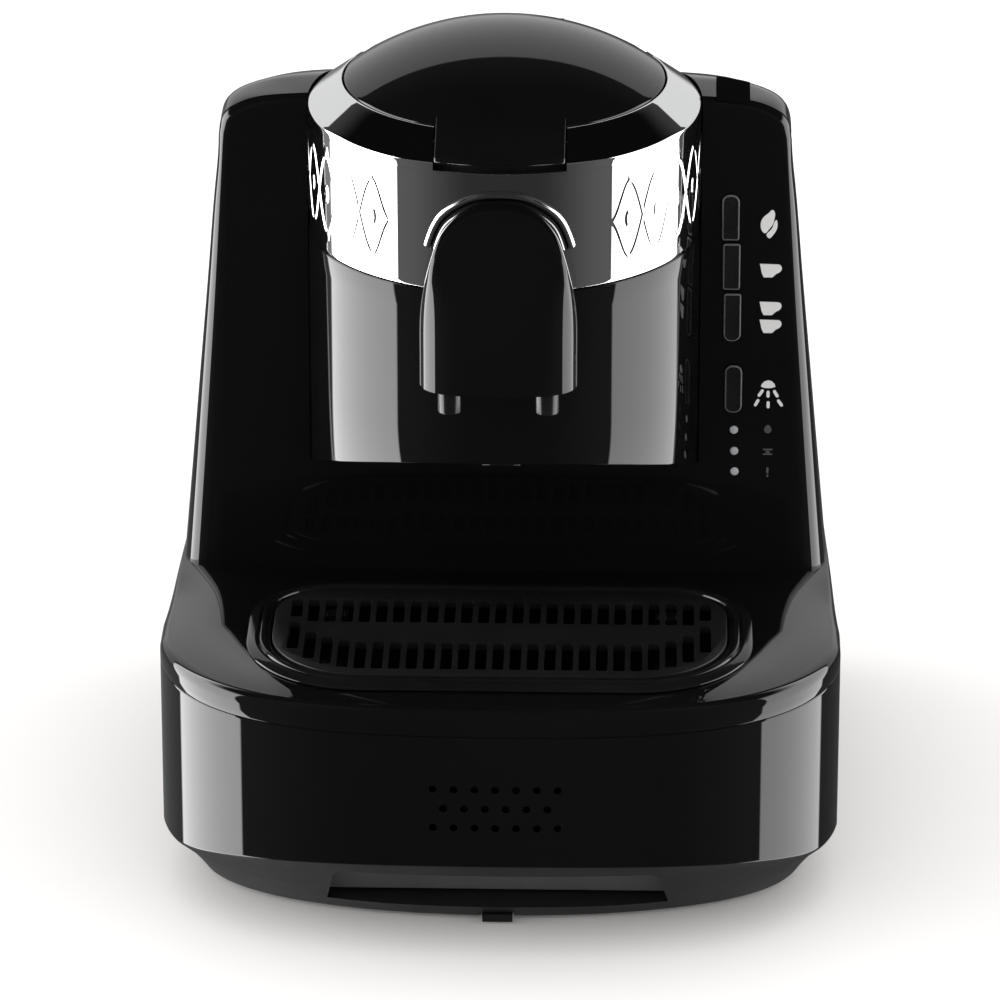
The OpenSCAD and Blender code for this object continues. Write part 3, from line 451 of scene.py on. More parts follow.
M = {
    "gloss_black": material("gloss_black", (0.0028, 0.0028, 0.003), (0.0036, 0.0036, 0.0038), (0.018, 0.032), rscale=18, cscale=9,
                            bscale=420, bstrength=0.012, bdist=0.00002, detail=2),
    "satin_black": material("satin_black", (0.006, 0.006, 0.0065), (0.009, 0.009, 0.0095), (0.2, 0.27), rscale=90, cscale=30,
                            bscale=2600, bstrength=0.12, bdist=0.00002, detail=4),
    "matte_black": material("matte_black", (0.007, 0.007, 0.0075), (0.011, 0.011, 0.0115), (0.42, 0.52), rscale=140, cscale=40,
                            bscale=2100, bstrength=0.35, bdist=0.00004, detail=5),
    "grille_black": material("grille_black", (0.006, 0.006, 0.006), (0.01, 0.01, 0.01), (0.3, 0.38), rscale=140, cscale=50,
                             bscale=2400, bstrength=0.2, bdist=0.00003, detail=4),
    "chrome": material("chrome", (0.9, 0.905, 0.91), (0.86, 0.865, 0.87), (0.012, 0.03), 1.0, rscale=14, cscale=9,
                       bscale=300, bstrength=0.01, bdist=0.00002, detail=2),
    "steel": material("steel", (0.62, 0.62, 0.63), (0.54, 0.54, 0.55), (0.2, 0.34), 1.0, rscale=220, cscale=60, bscale=900,
                      bstrength=0.08, bdist=0.00002, stretch=(1, 1, 14)),
    "aluminium": material("aluminium", (0.72, 0.72, 0.74), (0.62, 0.62, 0.64), (0.35, 0.5), 1.0, rscale=300, bscale=1600, bstrength=0.25),
    "black_rubber": material("black_rubber", (0.012, 0.012, 0.012), (0.02, 0.02, 0.019), (0.6, 0.75), bscale=1500, bstrength=0.3, sheen=0.1),
    "red_rubber": material("red_rubber", (0.42, 0.09, 0.05), (0.34, 0.07, 0.04), (0.45, 0.6), bscale=1500, bstrength=0.2),
    "grey_plastic": material("grey_plastic", (0.5, 0.5, 0.48), (0.44, 0.44, 0.42), (0.38, 0.5), bscale=1700, bstrength=0.2),
    "light_lens": material("light_lens", (0.82, 0.84, 0.88), (0.74, 0.76, 0.8), (0.2, 0.3), bscale=1200, bstrength=0.1, coat=0.4),
    "circuit_board": material("circuit_board", (0.02, 0.13, 0.05), (0.03, 0.2, 0.08), (0.3, 0.42), cscale=180, bscale=900, bstrength=0.3),
    "ceramic": material("ceramic", (0.78, 0.76, 0.7), (0.7, 0.68, 0.62), (0.35, 0.5), bscale=1300, bstrength=0.2),
    "pump_metal": material("pump_metal", (0.5, 0.5, 0.52), (0.4, 0.4, 0.42), (0.3, 0.45), 0.85, cscale=70, bscale=900, bstrength=0.2),
    "hose": material("hose", (0.66, 0.66, 0.63), (0.58, 0.58, 0.55), (0.4, 0.55), bscale=1200, bstrength=0.15),
    "smoked_clear": material("smoked_clear", (0.16, 0.165, 0.175), (0.13, 0.135, 0.145), (0.05, 0.09), rscale=30, bscale=260,
                             bstrength=0.02, ior=1.46, transmission=1.0),
    "ink": material("print_ink", (0.62, 0.62, 0.62), (0.56, 0.56, 0.56), (0.4, 0.55), bscale=2500, bstrength=0.1),
    "ink_dim": material("print_ink_dim", (0.075, 0.075, 0.075), (0.055, 0.055, 0.055), (0.4, 0.55), bscale=2500, bstrength=0.1),
    "led": material("led_lens", (0.35, 0.36, 0.38), (0.28, 0.29, 0.31), (0.15, 0.25), bscale=900, bstrength=0.1, coat=0.5),
    "button_black": material("button_black", (0.006, 0.006, 0.0065), (0.009, 0.009, 0.0095), (0.24, 0.3), rscale=110, cscale=60,
                             bscale=2300, bstrength=0.05, bdist=0.00002, detail=4),
}


M["tray_black"] = material("tray_black", (0.004, 0.004, 0.0042), (0.006, 0.006, 0.0062), (0.05, 0.09), rscale=60, cscale=20,
                           bscale=900, bstrength=0.03, bdist=0.00002, detail=3)
M["skirt_black"] = material("skirt_black", (0.014, 0.014, 0.0145), (0.019, 0.019, 0.0195), (0.42, 0.52), rscale=140, cscale=40,
                            bscale=2100, bstrength=0.3, bdist=0.00004, detail=5)
# painted light: the drawer front is coloured far lighter than its own black, standing in for light that the shaded
# recess keeps from it
M["drawer_black"] = material("drawer_black", (0.08, 0.08, 0.081), (0.095, 0.095, 0.096), (0.42, 0.52), rscale=140, cscale=40,
                             bscale=2100, bstrength=0.3, bdist=0.00004, detail=5)
# painted shade: an unreflecting near-black that stands in for the shade inside gaps, seams and vents
M["vent_black"] = material("vent_black", (0.0022, 0.0022, 0.0023), (0.0034, 0.0034, 0.0035), (0.5, 0.6), rscale=140, cscale=40,
                           bscale=2100, bstrength=0.3, bdist=0.00004, detail=5)
# painted highlight: a lighter grey standing in for the glint along each button's edge
M["key_rim"] = material("key_rim", (0.075, 0.075, 0.077), (0.095, 0.095, 0.097), (0.24, 0.32), rscale=110, cscale=60, bscale=2300,
                        bstrength=0.1, bdist=0.00002, detail=4)
M["lamp_lens"] = material("lamp_lens", (0.012, 0.012, 0.012), (0.018, 0.018, 0.018), (0.12, 0.18), rscale=110, cscale=60, bscale=1300,
                          bstrength=0.08, bdist=0.00002, detail=3)
for name, level in (("vent_black", 0.0), ("drawer_black", 0.2), ("skirt_black", 0.3), ("lamp_lens", 0.3)):
    for n in M[name].node_tree.nodes:
        if n.type == "BSDF_PRINCIPLED":
            n.inputs["Specular IOR Level"].default_value = level
            # the painted-shade black also loses its reflection, so it reads as pure shade
            if name == "vent_black":
                n.inputs["IOR"].default_value = 1.02


def finish_piece(ob, mat, body, slot, *nodes):
    ob.data.materials.clear()
    ob.data.materials.append(M[mat])
    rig.ride(ob, body)
    if nodes:
        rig.replaces(ob, *nodes)
    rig.slot(ob, slot)
    return ob


# ---------------------------------------------------------------- camera, floor and light
cam = bpy.data.cameras.new("camera")
cam_ob = bpy.data.objects.new("camera", cam)
scene.collection.objects.link(cam_ob)
cam.lens, cam.sensor_width, cam.sensor_fit = 240.84, 36.0, "HORIZONTAL"
cam.clip_start, cam.clip_end = 0.1, 30
cam_ob.location = (0.0574, -2.2482, 1.0736)
cam_ob.rotation_euler = (math.radians(67), 0, math.radians(1.51))
scene.camera = cam_ob

fme = bpy.data.meshes.new("floor")
fme.from_pydata([(-4, -4, 0), (4, -4, 0), (4, 4, 0), (-4, 4, 0)], [], [(0, 1, 2, 3)])
floor = bpy.data.objects.new("floor", fme)
scene.collection.objects.link(floor)
fmat = bpy.data.materials.new("floor")
nt, sh = node_tree(fmat)
sh.inputs["Base Color"].default_value = (0.93, 0.915, 0.905, 1)
sh.inputs["Roughness"].default_value = 0.9
sh.inputs["Specular IOR Level"].default_value = 0.0
fme.materials.append(fmat)
floor.visible_glossy = False
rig.stage(floor)

world = bpy.data.worlds.new("studio")
scene.world = world
world.use_nodes = True
wt = world.node_tree
wt.nodes.clear()
scene.view_settings.view_transform = "Standard"
scene.view_settings.look = "None"


def wm(op, a, b=None, c=None, clamp=False):
    n = wt.nodes.new("ShaderNodeMath")
    n.operation, n.use_clamp = op, clamp
    for i, v in enumerate((a, b, c)):
        if v is None:
            continue
        if isinstance(v, (int, float)):
            n.inputs[i].default_value = v
        else:
            wt.links.new(v, n.inputs[i])
    return n.outputs[0]


def ramp(v, a, b, lo=0.0, hi=1.0):
    n = wt.nodes.new("ShaderNodeMapRange")
    n.interpolation_type = "SMOOTHSTEP"
    n.inputs["From Min"].default_value, n.inputs["From Max"].default_value = a, b
    n.inputs["To Min"].default_value, n.inputs["To Max"].default_value = lo, hi
    wt.links.new(v, n.inputs["Value"])
    return n.outputs["Result"]


sep = wt.nodes.new("ShaderNodeSeparateXYZ")
wt.links.new(wt.nodes.new("ShaderNodeTexCoord").outputs["Generated"], sep.inputs[0])
X, Y, Z = sep.outputs
az = wm("MULTIPLY", wm("SUBTRACT", wm("ARCTAN2", X, wm("MULTIPLY", Y, -1.0)), 0.0255), 57.2958)
A = wm("ABSOLUTE", az)
E = wm("MULTIPLY", wm("ARCSINE", Z), 57.2958)
right = ramp(az, -10, 10)
# tall strip lights on both sides
strip = wm("MULTIPLY", ramp(A, 65.4, 67.0), ramp(A, 122.0, 124.4, 1.0, 0.0))
strip = wm("MULTIPLY", strip, wm("MULTIPLY", ramp(E, 22, 34, 1.0, 0.0), ramp(E, -78, -64)))
strip = wm("MULTIPLY", strip, wm("ADD", 7.4, wm("MULTIPLY", right, -3.0)))
# pale backdrop behind, with an arched upper edge
P = wm("MULTIPLY", wm("SUBTRACT", 180.0, A), 1.49)
edge = wm("MULTIPLY", wm("ARCTANGENT", wm("MULTIPLY", 1.046, wm("COSINE", wm("DIVIDE", wm("MINIMUM", P, 89.0), 57.2958)))), 57.2958)
over = wm("SUBTRACT", E, edge)
back_hi = wm("MULTIPLY", ramp(over, -0.6, 0.6, 1.0, 0.0), 0.94)
low = ramp(E, -9, -1, 1.0, 0.0)
back_lo = wm("ADD", 0.26, wm("MULTIPLY", right, -0.15))
back = wm("ADD", wm("MULTIPLY", low, back_lo), wm("MULTIPLY", wm("SUBTRACT", 1.0, low), back_hi))
back = wm("MULTIPLY", back, ramp(A, 120.0, 124.4))
# the dark side in front, a little lighter towards the strips and above
front = wm("ADD", 0.034, wm("MULTIPLY", ramp(A, 18, 66), 0.095))
front = wm("MULTIPLY", front, ramp(A, 64, 68, 1.0, 0.0))
top = wm("MULTIPLY", ramp(over, 0.0, 26.0, 0.055, 0.004), ramp(over, -0.6, 0.6))
top = wm("MULTIPLY", top, ramp(A, 60, 80))
glossy = wm("ADD", wm("ADD", strip, back), wm("ADD", front, top))
lp = wt.nodes.new("ShaderNodeLightPath")
bg = [wt.nodes.new("ShaderNodeBackground") for _ in range(3)]
wt.links.new(glossy, bg[0].inputs["Strength"])
bg[1].inputs["Strength"].default_value = 1.22
bg[1].inputs["Color"].default_value = (1.0, 0.992, 0.985, 1)
bg[2].inputs["Strength"].default_value = 1.05
mixd = wt.nodes.new("ShaderNodeMixShader")
wt.links.new(lp.outputs["Is Diffuse Ray"], mixd.inputs[0])
wt.links.new(bg[0].outputs[0], mixd.inputs[1])
wt.links.new(bg[1].outputs[0], mixd.inputs[2])
mixc = wt.nodes.new("ShaderNodeMixShader")
wt.links.new(lp.outputs["Is Camera Ray"], mixc.inputs[0])
wt.links.new(mixd.outputs[0], mixc.inputs[1])
wt.links.new(bg[2].outputs[0], mixc.inputs[2])
wo = wt.nodes.new("ShaderNodeOutputWorld")
wt.links.new(mixc.outputs[0], wo.inputs[0])


# ---------------------------------------------------------------- base
SEAM = outline([[0, -135], [32, -134], [62, -130], [84, -122.5], [99, -113], [111, -99.5], [118, -86], [121.5, -72],
                [121.2, -52], [119.4, -9], [116.8, 50], [114.3, 100], [110, 119], [99, 131], [84, 135], [40, 135], [0, 135]])
DECK = outline([[0, -131], [32, -130], [62, -126], [84, -118.5], [98, -109], [108, -96.5], [114.5, -84], [117.8, -70],
                [118, -50], [117.9, -9], [116.6, 50], [114.1, 100], [110, 119], [99, 131], [84, 135], [40, 135], [0, 135]])
FOOT = outline([[0, -105], [32, -103.3], [60, -98], [85, -88.5], [102, -74.5], [110, -54], [112, -9], [110, 50], [107, 100],
                [102, 118], [92, 128], [78, 130], [40, 130], [0, 130]])
COLLAR = rrect(90, -121, -29, 42, 30)
WELL = rrect(84, -115, -34, 37, 25)
GRILLE = rrect(81, -112, -37, 34, 22)
C0, C2 = (0, -60), (0, -75)


def lip(y):
    """Height of the fascia's lower edge."""
    s = -95 - y
    return 24 + 0.3 * (s + np.sqrt(s * s + 16)) / 2 - 0.05


def fascia(name):
    top = 85.93

    def at(t, dz=0.0):
        return lambda x, y: (lip(y) + 0.5) * (1 - t) + (top - 0.5) * t + dz
    rows = [ring(SEAM, C0, 0.45, lambda x, y: lip(y) + 0.05), ring(SEAM, C0, 0.13, lambda x, y: lip(y) + 0.17), ring(SEAM, C0, 0, at(0))]
    rows += [ring(SEAM, C0, 0, at(0, 0.25))] + [ring(SEAM, C0, 0, at(t)) for t in np.linspace(0, 1, 15)[1:-1]]
    rows += [ring(SEAM, C0, 0, at(1, -0.3)), ring(SEAM, C0, 0, at(1))]
    rows += [ring(SEAM, C0, 0.1, top - 0.14), ring(SEAM, C0, 0.3, top), ring(SEAM, C0, 2.6, top), ring(SEAM, C0, 2.6, lambda x, y: lip(y) + 0.05)]
    return loft(name, rows, loop_v=True)


housing = fascia("base_fascia")
ref = housing.data.copy()
holes = []
for n, z in ((7, 65.9), (6, 58.5), (7, 51.1)):
    for i in range(n):
        x = (i - (n - 1) / 2) * 7.3
        holes.append(prism(circle(x, z, 1.4, 40), "y", -140, -130))
holes = join("holes", *holes)
vents = join("vents", *[prism(rr, "y", 125, 140) for rr in [box_poly(x - 1.5, 34, x + 1.5, 56) for x in range(-24, 25, 8)]])
outlets = join("outlets", prism(box_poly(49.8, 41.8, 72.2, 56.2), "y", 120, 140), prism(box_poly(-67, 15, -53, 56), "y", 120, 140))
cut(housing, holes, vents, outlets)
shade(housing.data)
like(housing, ref)
finish_piece(housing, "gloss_black", "machine", "gloss_black", "base_housing")

# lower skirt, with the finger recess
S3, F3 = ring(SEAM, C0, 0, 0.0), ring(FOOT, C0, 0, 0.0)
S3i, F3i = ring(SEAM, C0, 2.5, 0.0), ring(FOOT, C0, 2.5, 0.0)
SE, SEi = lip(S3[:, 1]) - 0.05, lip(S3[:, 1])


def skirt_row(t, inner=False, inset=0.0, dz=0.0):
    a, b = (S3i, F3i) if inner else (S3, F3)
    p = a * (1 - t) + b * t
    p = p.copy()
    p[:, 2] = (SE - dz) * (1 - t) + 2.0 * t
    if inset:
        q = offset(p[:, :2], inset)
        p[:, :2] = q
    return p


rows = [skirt_row(0, inset=0.4), skirt_row(0.005, inset=0.12)] + [skirt_row(t) for t in (0.02, 0.15, 0.3, 0.45, 0.6, 0.75, 0.9, 0.975)]
rows += [skirt_row(0.993, inset=0.25), skirt_row(1.0, inset=0.9), skirt_row(1.0, inner=True), skirt_row(0.5, inner=True), skirt_row(0, inner=True)]
skirt = loft("base_skirt_shell", rows, loop_v=True)
ref = skirt.data.copy()


def recess(g, n=10):
    h = [(-61 + g, 8.1 + g), (61 - g, 8.1 + g), (60.4 - g, 11), (57.9 - g, 25.8), (56.9 - g, 27.8 - g / 2), (55.2 - g, 29.1 - g), (53.2 - g, 29.6 - g),
         (-53.2 + g, 29.6 - g), (-55.2 + g, 29.1 - g), (-56.9 + g, 27.8 - g / 2), (-57.9 + g, 25.8), (-60.4 + g, 11)]
    return np.array(h, float)


tun = prism(recess(-1.5), "y", -140, -96, "tunnel")
outer = loft("outer", [skirt_row(0, inset=0.05)] + [skirt_row(t, inset=0.05) for t in (0.5, 1.0)], caps=(True, True))
cut(tun, outer, op="INTERSECT")
cut(skirt, tun, op="UNION")
cut(skirt, prism(recess(0), "y", -145, -80), prism(box_poly(-5.9, 1, 5.9, 4.6), "y", -120, -80))
shade(skirt.data)
like(skirt, ref)
finish_piece(skirt, "skirt_black", "machine", "matte_black", "base_skirt")


# deck cover
def crown(x, y, d):
    fade = smooth01((-12 - y) / 28)
    return 97 - 1.25 * fade * np.clip(1 - d / 15, 0, 1) ** 2


dk, wl = ring(DECK, C2, 0, 0.0), ring(WELL, C2, 0, 0.0)
sm = ring(SEAM, C2, 0, 0.0)
run = np.linalg.norm(dk[:, :2] - wl[:, :2], axis=1)
edge_z = crown(dk[:, 0], dk[:, 1], 0 * run)
rows = [ring(SEAM, C2, 0.3, 86.03), ring(SEAM, C2, 0.1, 86.17), ring(SEAM, C2, 0, 86.5), ring(SEAM, C2, 0, 88.6), ring(SEAM, C2, 0, 91)]
for a in np.radians(np.linspace(0, 90, 13)[1:]):
    p = dk + (sm - dk) * math.cos(a)
    p[:, 2] = 91 + (edge_z - 91) * math.sin(a)
    rows.append(p)
for t in (0.02, 0.05, 0.09, 0.14, 0.2, 0.27, 0.35, 0.45, 0.6, 0.8, 0.97):
    p = dk * (1 - t) + wl * t
    p[:, 2] = crown(p[:, 0], p[:, 1], run * t)
    rows.append(p)
rows += [ring(WELL, C2, 0.1, 96.9), ring(WELL, C2, 0.12, 94.4), ring(WELL, C2, -3, 94.3)]
rows += [ring(DECK, C2, 3.2, 94.0), ring(SEAM, C2, 2.6, 90), ring(SEAM, C2, 2.6, 86.03)]
deck = loft("base_deck_cover", rows, loop_v=True)
ref = deck.data.copy()
cut(deck, prism(rrect(91, 7, 79, 9, 9), "z", 90, 102), prism(circle(0, 110, 12.2), "z", 90, 102))
shade(deck.data)
like(deck, ref)
# the deck's sides are shaded as if they fell away to the sides a little more than they do
me = deck.data
nn = np.array([tuple(c.vector) for c in me.corner_normals])
at_v = np.array([tuple(me.vertices[l.vertex_index].co) for l in me.loops]) / MM
bound = np.interp(at_v[:, 1], [-135, -119, -95, -65, -32, 0, 20], [76, 74, 85, 100, 100, 106, 112])
tilt = 0.42 * smooth01((np.abs(at_v[:, 0]) - bound + 7) / 14) * smooth01((nn[:, 2] - 0.55) / 0.4) * smooth01((12 - at_v[:, 1]) / 30)
nn[:, 0] += np.sign(at_v[:, 0]) * np.tan(tilt)
nn /= np.linalg.norm(nn, axis=1)[:, None]
me.normals_split_custom_set([tuple(n) for n in nn])
me.update()
finish_piece(deck, "gloss_black", "machine", "gloss_black", "base_top_cover")

# drip tray: stepped collar, walls and a floor that runs to its drain
hole = np.column_stack([4 * np.cos(TH), -75 + 4 * np.sin(TH)])
prof = [(COLLAR, 0.35, 97.32), (COLLAR, 0.08, 97.4), (COLLAR, 0.0, 97.65), (COLLAR, 0.12, 97.95), (COLLAR, 0.5, 98.25), (COLLAR, 1.6, 98.75),
        (COLLAR, 2.9, 99.3), (COLLAR, 3.3, 99.42), (COLLAR, 3.62, 99.36), (COLLAR, 3.82, 99.12), (COLLAR, 4.0, 98.92), (COLLAR, 4.25, 98.86),
        (COLLAR, 4.45, 98.98), (COLLAR, 4.62, 99.28), (COLLAR, 4.85, 99.62), (COLLAR, 5.2, 99.86), (COLLAR, 5.6, 99.94), (COLLAR, 6.0, 99.86),
        (COLLAR, 6.35, 99.6), (COLLAR, 6.6, 99.2), (COLLAR, 6.75, 98.8), (COLLAR, 7.0, 98.5), (WELL, 1.6, 98.4), (WELL, 2.1, 98.3), (WELL, 2.4, 98.0),
        (WELL, 2.5, 97.5), (WELL, 2.5, 84.5), (WELL, 2.9, 83.0), (WELL, 4.2, 82.2), (WELL, 8, 82.1)]
rows = [ring(p, C2, i, z) for p, i, z in prof]
rows += [np.column_stack([hole, np.full(K, 82.0)]), np.column_stack([hole, np.full(K, 80.0)])]
rows += [ring(WELL, C2, 3.0, 80.0), ring(WELL, C2, 1.2, 80.4), ring(WELL, C2, 0.5, 81.6), ring(WELL, C2, 0.5, 97.3)]
tray = loft("drip_tray_shell", rows, loop_v=True, sharp=38)
ledges = join("ledges", *[prism(rrect(5, -4, 4, 1, 1) + [x, y], "z", 81.9, 96.4) for x in (-60, 60) for y in (-98, -52)])
tray = join("drip_tray_shell", tray, ledges)
shade(tray.data, 38)
finish_piece(tray, "tray_black", "tray", "satin_black", "drip_tray")


# cup grille
def slot_front(x):
    return -107 if abs(x) < 47 else -78 - math.sqrt(max(0, 29 * 29 - (abs(x) - 47) ** 2))


rows = [ring(GRILLE, C2, i, z) for i, z in ((1.0, 96.8), (0.3, 96.95), (0.0, 97.3), (0.0, 99.0), (0.15, 99.35), (0.5, 99.6))]
grille = loft("cup_grille_plate", rows, caps=(True, True), sharp=38)
slots = []
for i in range(-12, 13):
    x = i * 6.1
    yf = slot_front(x)
    yr = yf + 23
    slots.append(prism(rrect(2.05, yf, yr, 0.9, 0.9, 6) + [x, 0], "z", 90, 104))
    f2 = max(-67, yr + 4.5)
    if f2 < -52:
        slots.append(prism(rrect(2.05, f2, -47.6, 0.9, 0.9, 6) + [x, 0], "z", 90, 104))
cut(grille, join("slots", *slots))
shade(grille.data, 38)
bevel(grille, 0.35, 2, 50)
finish_piece(grille, "grille_black", "grille", "matte_black", "cup_grille")


# ---------------------------------------------------------------- tower
def pchip(t, Y, q):
    """Monotone cubic interpolation of the rows Y at t, evaluated at q."""
    t = np.asarray(t, float)
    h = np.diff(t)
    d = np.diff(Y, axis=0) / h[:, None]
    m = np.zeros_like(Y)
    w1, w2 = (2 * h[1:] + h[:-1])[:, None], (h[1:] + 2 * h[:-1])[:, None]
    same = d[:-1] * d[1:] > 0
    with np.errstate(divide="ignore", invalid="ignore"):
        m[1:-1] = np.where(same, (w1 + w2) / (w1 / d[:-1] + w2 / d[1:]), 0)
    m[0], m[-1] = d[0], d[-1]
    i = np.clip(np.searchsorted(t, q, side="right") - 1, 0, len(h) - 1)
    u = ((q - t[i]) / h[i])[:, None]
    hh = h[i][:, None]
    return ((2 * u ** 3 - 3 * u ** 2 + 1) * Y[i] + (u ** 3 - 2 * u ** 2 + u) * hh * m[i]
            + (-2 * u ** 3 + 3 * u ** 2) * Y[i + 1] + (u ** 3 - u ** 2) * hh * m[i + 1])


def panel_y(z):
    return -14 + 6.5 * (z - 97) / 178


def seam_zy(y):
    return 277.5 - (y + 30) * 84.5 / 180


# (foot x, foot y), rib Y, half section from the side to the middle
RIBS = [
    ((104, -14), -7.5, [(98.9, 257.7), (97.9, 265), (96.5, 267.3), (93.8, 269.3), (90.7, 270.8), (79.2, 273), (60, 273.7), (0, 273.9)]),
    ((109.2, -13.0), -6.9, [(100.7, 257.7), (99.5, 265.7), (98, 268.6), (94.7, 270.9), (91.3, 272.4), (79.4, 274.6), (60, 275.3), (0, 275.5)]),
    ((113.6, -10.5), -5.2, [(101.9, 258), (100.9, 266.2), (99, 269.6), (95.4, 272.1), (91.7, 273.7), (79.5, 275.9), (60, 276.6), (0, 276.9)]),
    ((116.9, -3.6), -3.6, [(102.3, 258), (101.4, 266.4), (99.5, 270), (95.7, 272.6), (91.9, 274.3), (79.6, 276.5), (60, 277.3), (0, 277.8)]),
    ((117.6, 8), 12, [(102.3, 256), (101.7, 265), (100, 269.4), (96.3, 272.5), (91, 274.6), (79.5, 276.9), (60, 278.1), (0, 279)]),
    ((117.3, 25), 25, [(101.8, 251), (101, 260), (99.4, 265.2), (96, 268.6), (90, 271.4), (78, 274.5), (60, 276), (0, 277)]),
    ((116.9, 45), 45, [(101, 243), (100, 252), (98.3, 257), (94.8, 260.3), (89, 263), (77, 266), (60, 267.6), (0, 268.6)]),
    ((115.5, 75), 75, [(99.8, 228), (98.8, 237), (97.2, 242), (93.6, 245.4), (88, 248), (76, 251), (60, 252.6), (0, 253.6)]),
    ((113.2, 105), 105, [(98, 212), (97, 221), (95, 226.3), (91.4, 229.6), (86, 232.1), (74, 235.1), (58, 236.6), (0, 237.6)]),
    ((103.5, 127), 130, [(90, 198), (89, 207), (87.4, 212), (84, 215.4), (79, 218), (68, 221), (54, 222.8), (0, 223.8)]),
    ((86, 134.9), 134.9, [(78, 196), (77.4, 205), (76, 210.4), (73, 213.6), (68, 216.2), (58, 218.6), (48, 219.8), (0, 220.6)])]
NA, NB = 44, 64


def section(foot, y, half):
    """One half section as NA points from the foot to the seam and NB on to the middle."""
    a = np.array([foot[0], foot[1], 97.0])
    r = np.array([[x, y, z] for x, z in half], float)
    side = [a * (1 - t) + r[0] * t for t in (0, 0.25, 0.5, 0.75, 0.9)]
    full = np.array(side + list(r) + [[-p[0], p[1], p[2]] for p in r[-2::-1]])
    c = spline(full, 30, closed=False)
    c = c[: 12 * 30 + 1]
    zs = seam_zy(y)
    d = np.concatenate([[0], np.cumsum(np.linalg.norm(np.diff(c, axis=0), axis=1))])
    ds = np.interp(zs, c[:, 2][: 12 * 30 - 60], d[: 12 * 30 - 60])
    tb = np.linspace(0, 1, NB + 1)
    tb = 0.75 * tb ** 1.6 + 0.25 * tb
    t = np.concatenate([np.linspace(0, ds, NA), ds + (d[-1] - ds) * tb[1:]])
    return np.stack([np.interp(t, d, c[:, i]) for i in range(3)], 1)


SEC = np.array([section(*r) for r in RIBS])
T = np.concatenate([[0], np.cumsum(np.sqrt(((SEC[1:] - SEC[:-1]) ** 2).sum(2)).mean(1))])


def sections(q):
    q = np.asarray(q, float)
    m = SEC.shape[1]
    return pchip(T, SEC.reshape(len(SEC), -1), q).reshape(len(q), m, 3)


def both(g):
    """Half sections (rows, points, 3) made whole: left foot, over the top, right foot."""
    left = g.copy()
    left[..., 0] *= -1
    return np.concatenate([left, g[:, -2::-1]], axis=1)


def patch(name, g, thick=2.4, sharp=34, flip=None):
    """An open grid (rows, points, 3), given a wall on its inner side."""
    n, m = g.shape[:2]
    ob = add_mesh(name, g.reshape(-1, 3), grid_faces(n, m, False), sharp)
    me = ob.data
    c = Vector((0, 0.05, 0.15))
    s = sum((p.center - c).dot(p.normal) * p.area for p in me.polygons)
    if s < 0:
        me.flip_normals()
    md = ob.modifiers.new("wall", "SOLIDIFY")
    md.thickness, md.offset, md.use_even_offset = thick * MM, -1, False
    applied(ob)
    shade(ob.data, sharp)
    return ob


# front panel: face, rounded rim, down to the seam behind it
def eased(side, over):
    """Sections at two places, the first for the tower's sides and the second for its top."""
    a, b = sections(side), sections(over)
    w = smooth01((a[..., 2:3] - 262) / 9)
    return a * (1 - w) + b * w


t3 = T[3]
base_q = np.linspace(T[0], t3 - 0.5, 16)
edge = eased(np.concatenate([base_q, [t3 - 0.16]]), np.concatenate([np.minimum(base_q, t3 - 1.1), [t3 - 0.72]]))
rim = eased([t3 - 0.06], [t3 - 0.55])
rim_in = rim.copy()
rim_in[..., 0] = np.maximum(rim_in[..., 0] - 0.2, 0)
rim_in[..., 2] -= 0.9 * smooth01((rim[..., 2] - 262) / 9)
edge = both(np.concatenate([edge, rim_in]))
first = edge[0]
inner = []
for s in (0.0, 0.2, 0.4, 0.6, 0.78, 0.9, 0.97, 0.995):
    zs = np.minimum(first[:, 2], 236.0)
    x = first[:, 0] * s
    z = zs + (first[:, 2] - zs) * s
    y = panel_y(z) + (first[:, 1] - panel_y(first[:, 2])) * s ** 12
    inner.append(np.column_stack([x, y, z]))
outer = np.concatenate([np.array(inner), edge])
ramp = smooth01(np.concatenate([np.zeros(len(inner)), np.linspace(0, 1, len(edge))]))[:, None]
core = np.minimum(outer[..., 2], 236.0)
away = np.stack([-outer[..., 0], core - outer[..., 2]], -1)
away /= np.maximum(np.linalg.norm(away, axis=-1), 3.0)[..., None]
back = outer.copy()
back[..., 0] += away[..., 0] * 2.4 * ramp
back[..., 2] += away[..., 1] * 2.4 * ramp
back[..., 1] += 2.4 * (1 - ramp)
n, m = outer.shape[:2]
f = grid_faces(2 * n, m, False)
for c in (0, m - 1):
    f += [(i * m + c, (i + 1) * m + c, (2 * n - 2 - i) * m + c, (2 * n - 1 - i) * m + c) for i in range(n - 1)]
panel = add_mesh("tower_front", np.concatenate([outer, back[::-1]]).reshape(-1, 3), f, 34)
ref = panel.data.copy()


def col_x(z):
    return 80.8 + 2.4 * (234 - z) / 90


def capsule(w, h, top, foot, n=12):
    """A button outline, counter-clockwise, with its own corner radius at the top and at the foot."""
    a = np.radians(90 * np.arange(n + 1) / n)
    q = [(w / 2 - top + top * np.cos(a), h / 2 - top + top * np.sin(a)), (-w / 2 + top - top * np.sin(a), h / 2 - top + top * np.cos(a)),
         (-w / 2 + foot - foot * np.cos(a), -h / 2 + foot - foot * np.sin(a)), (w / 2 - foot + foot * np.sin(a), -h / 2 + foot - foot * np.cos(a))]
    return np.concatenate([np.stack(p, 1) for p in q])


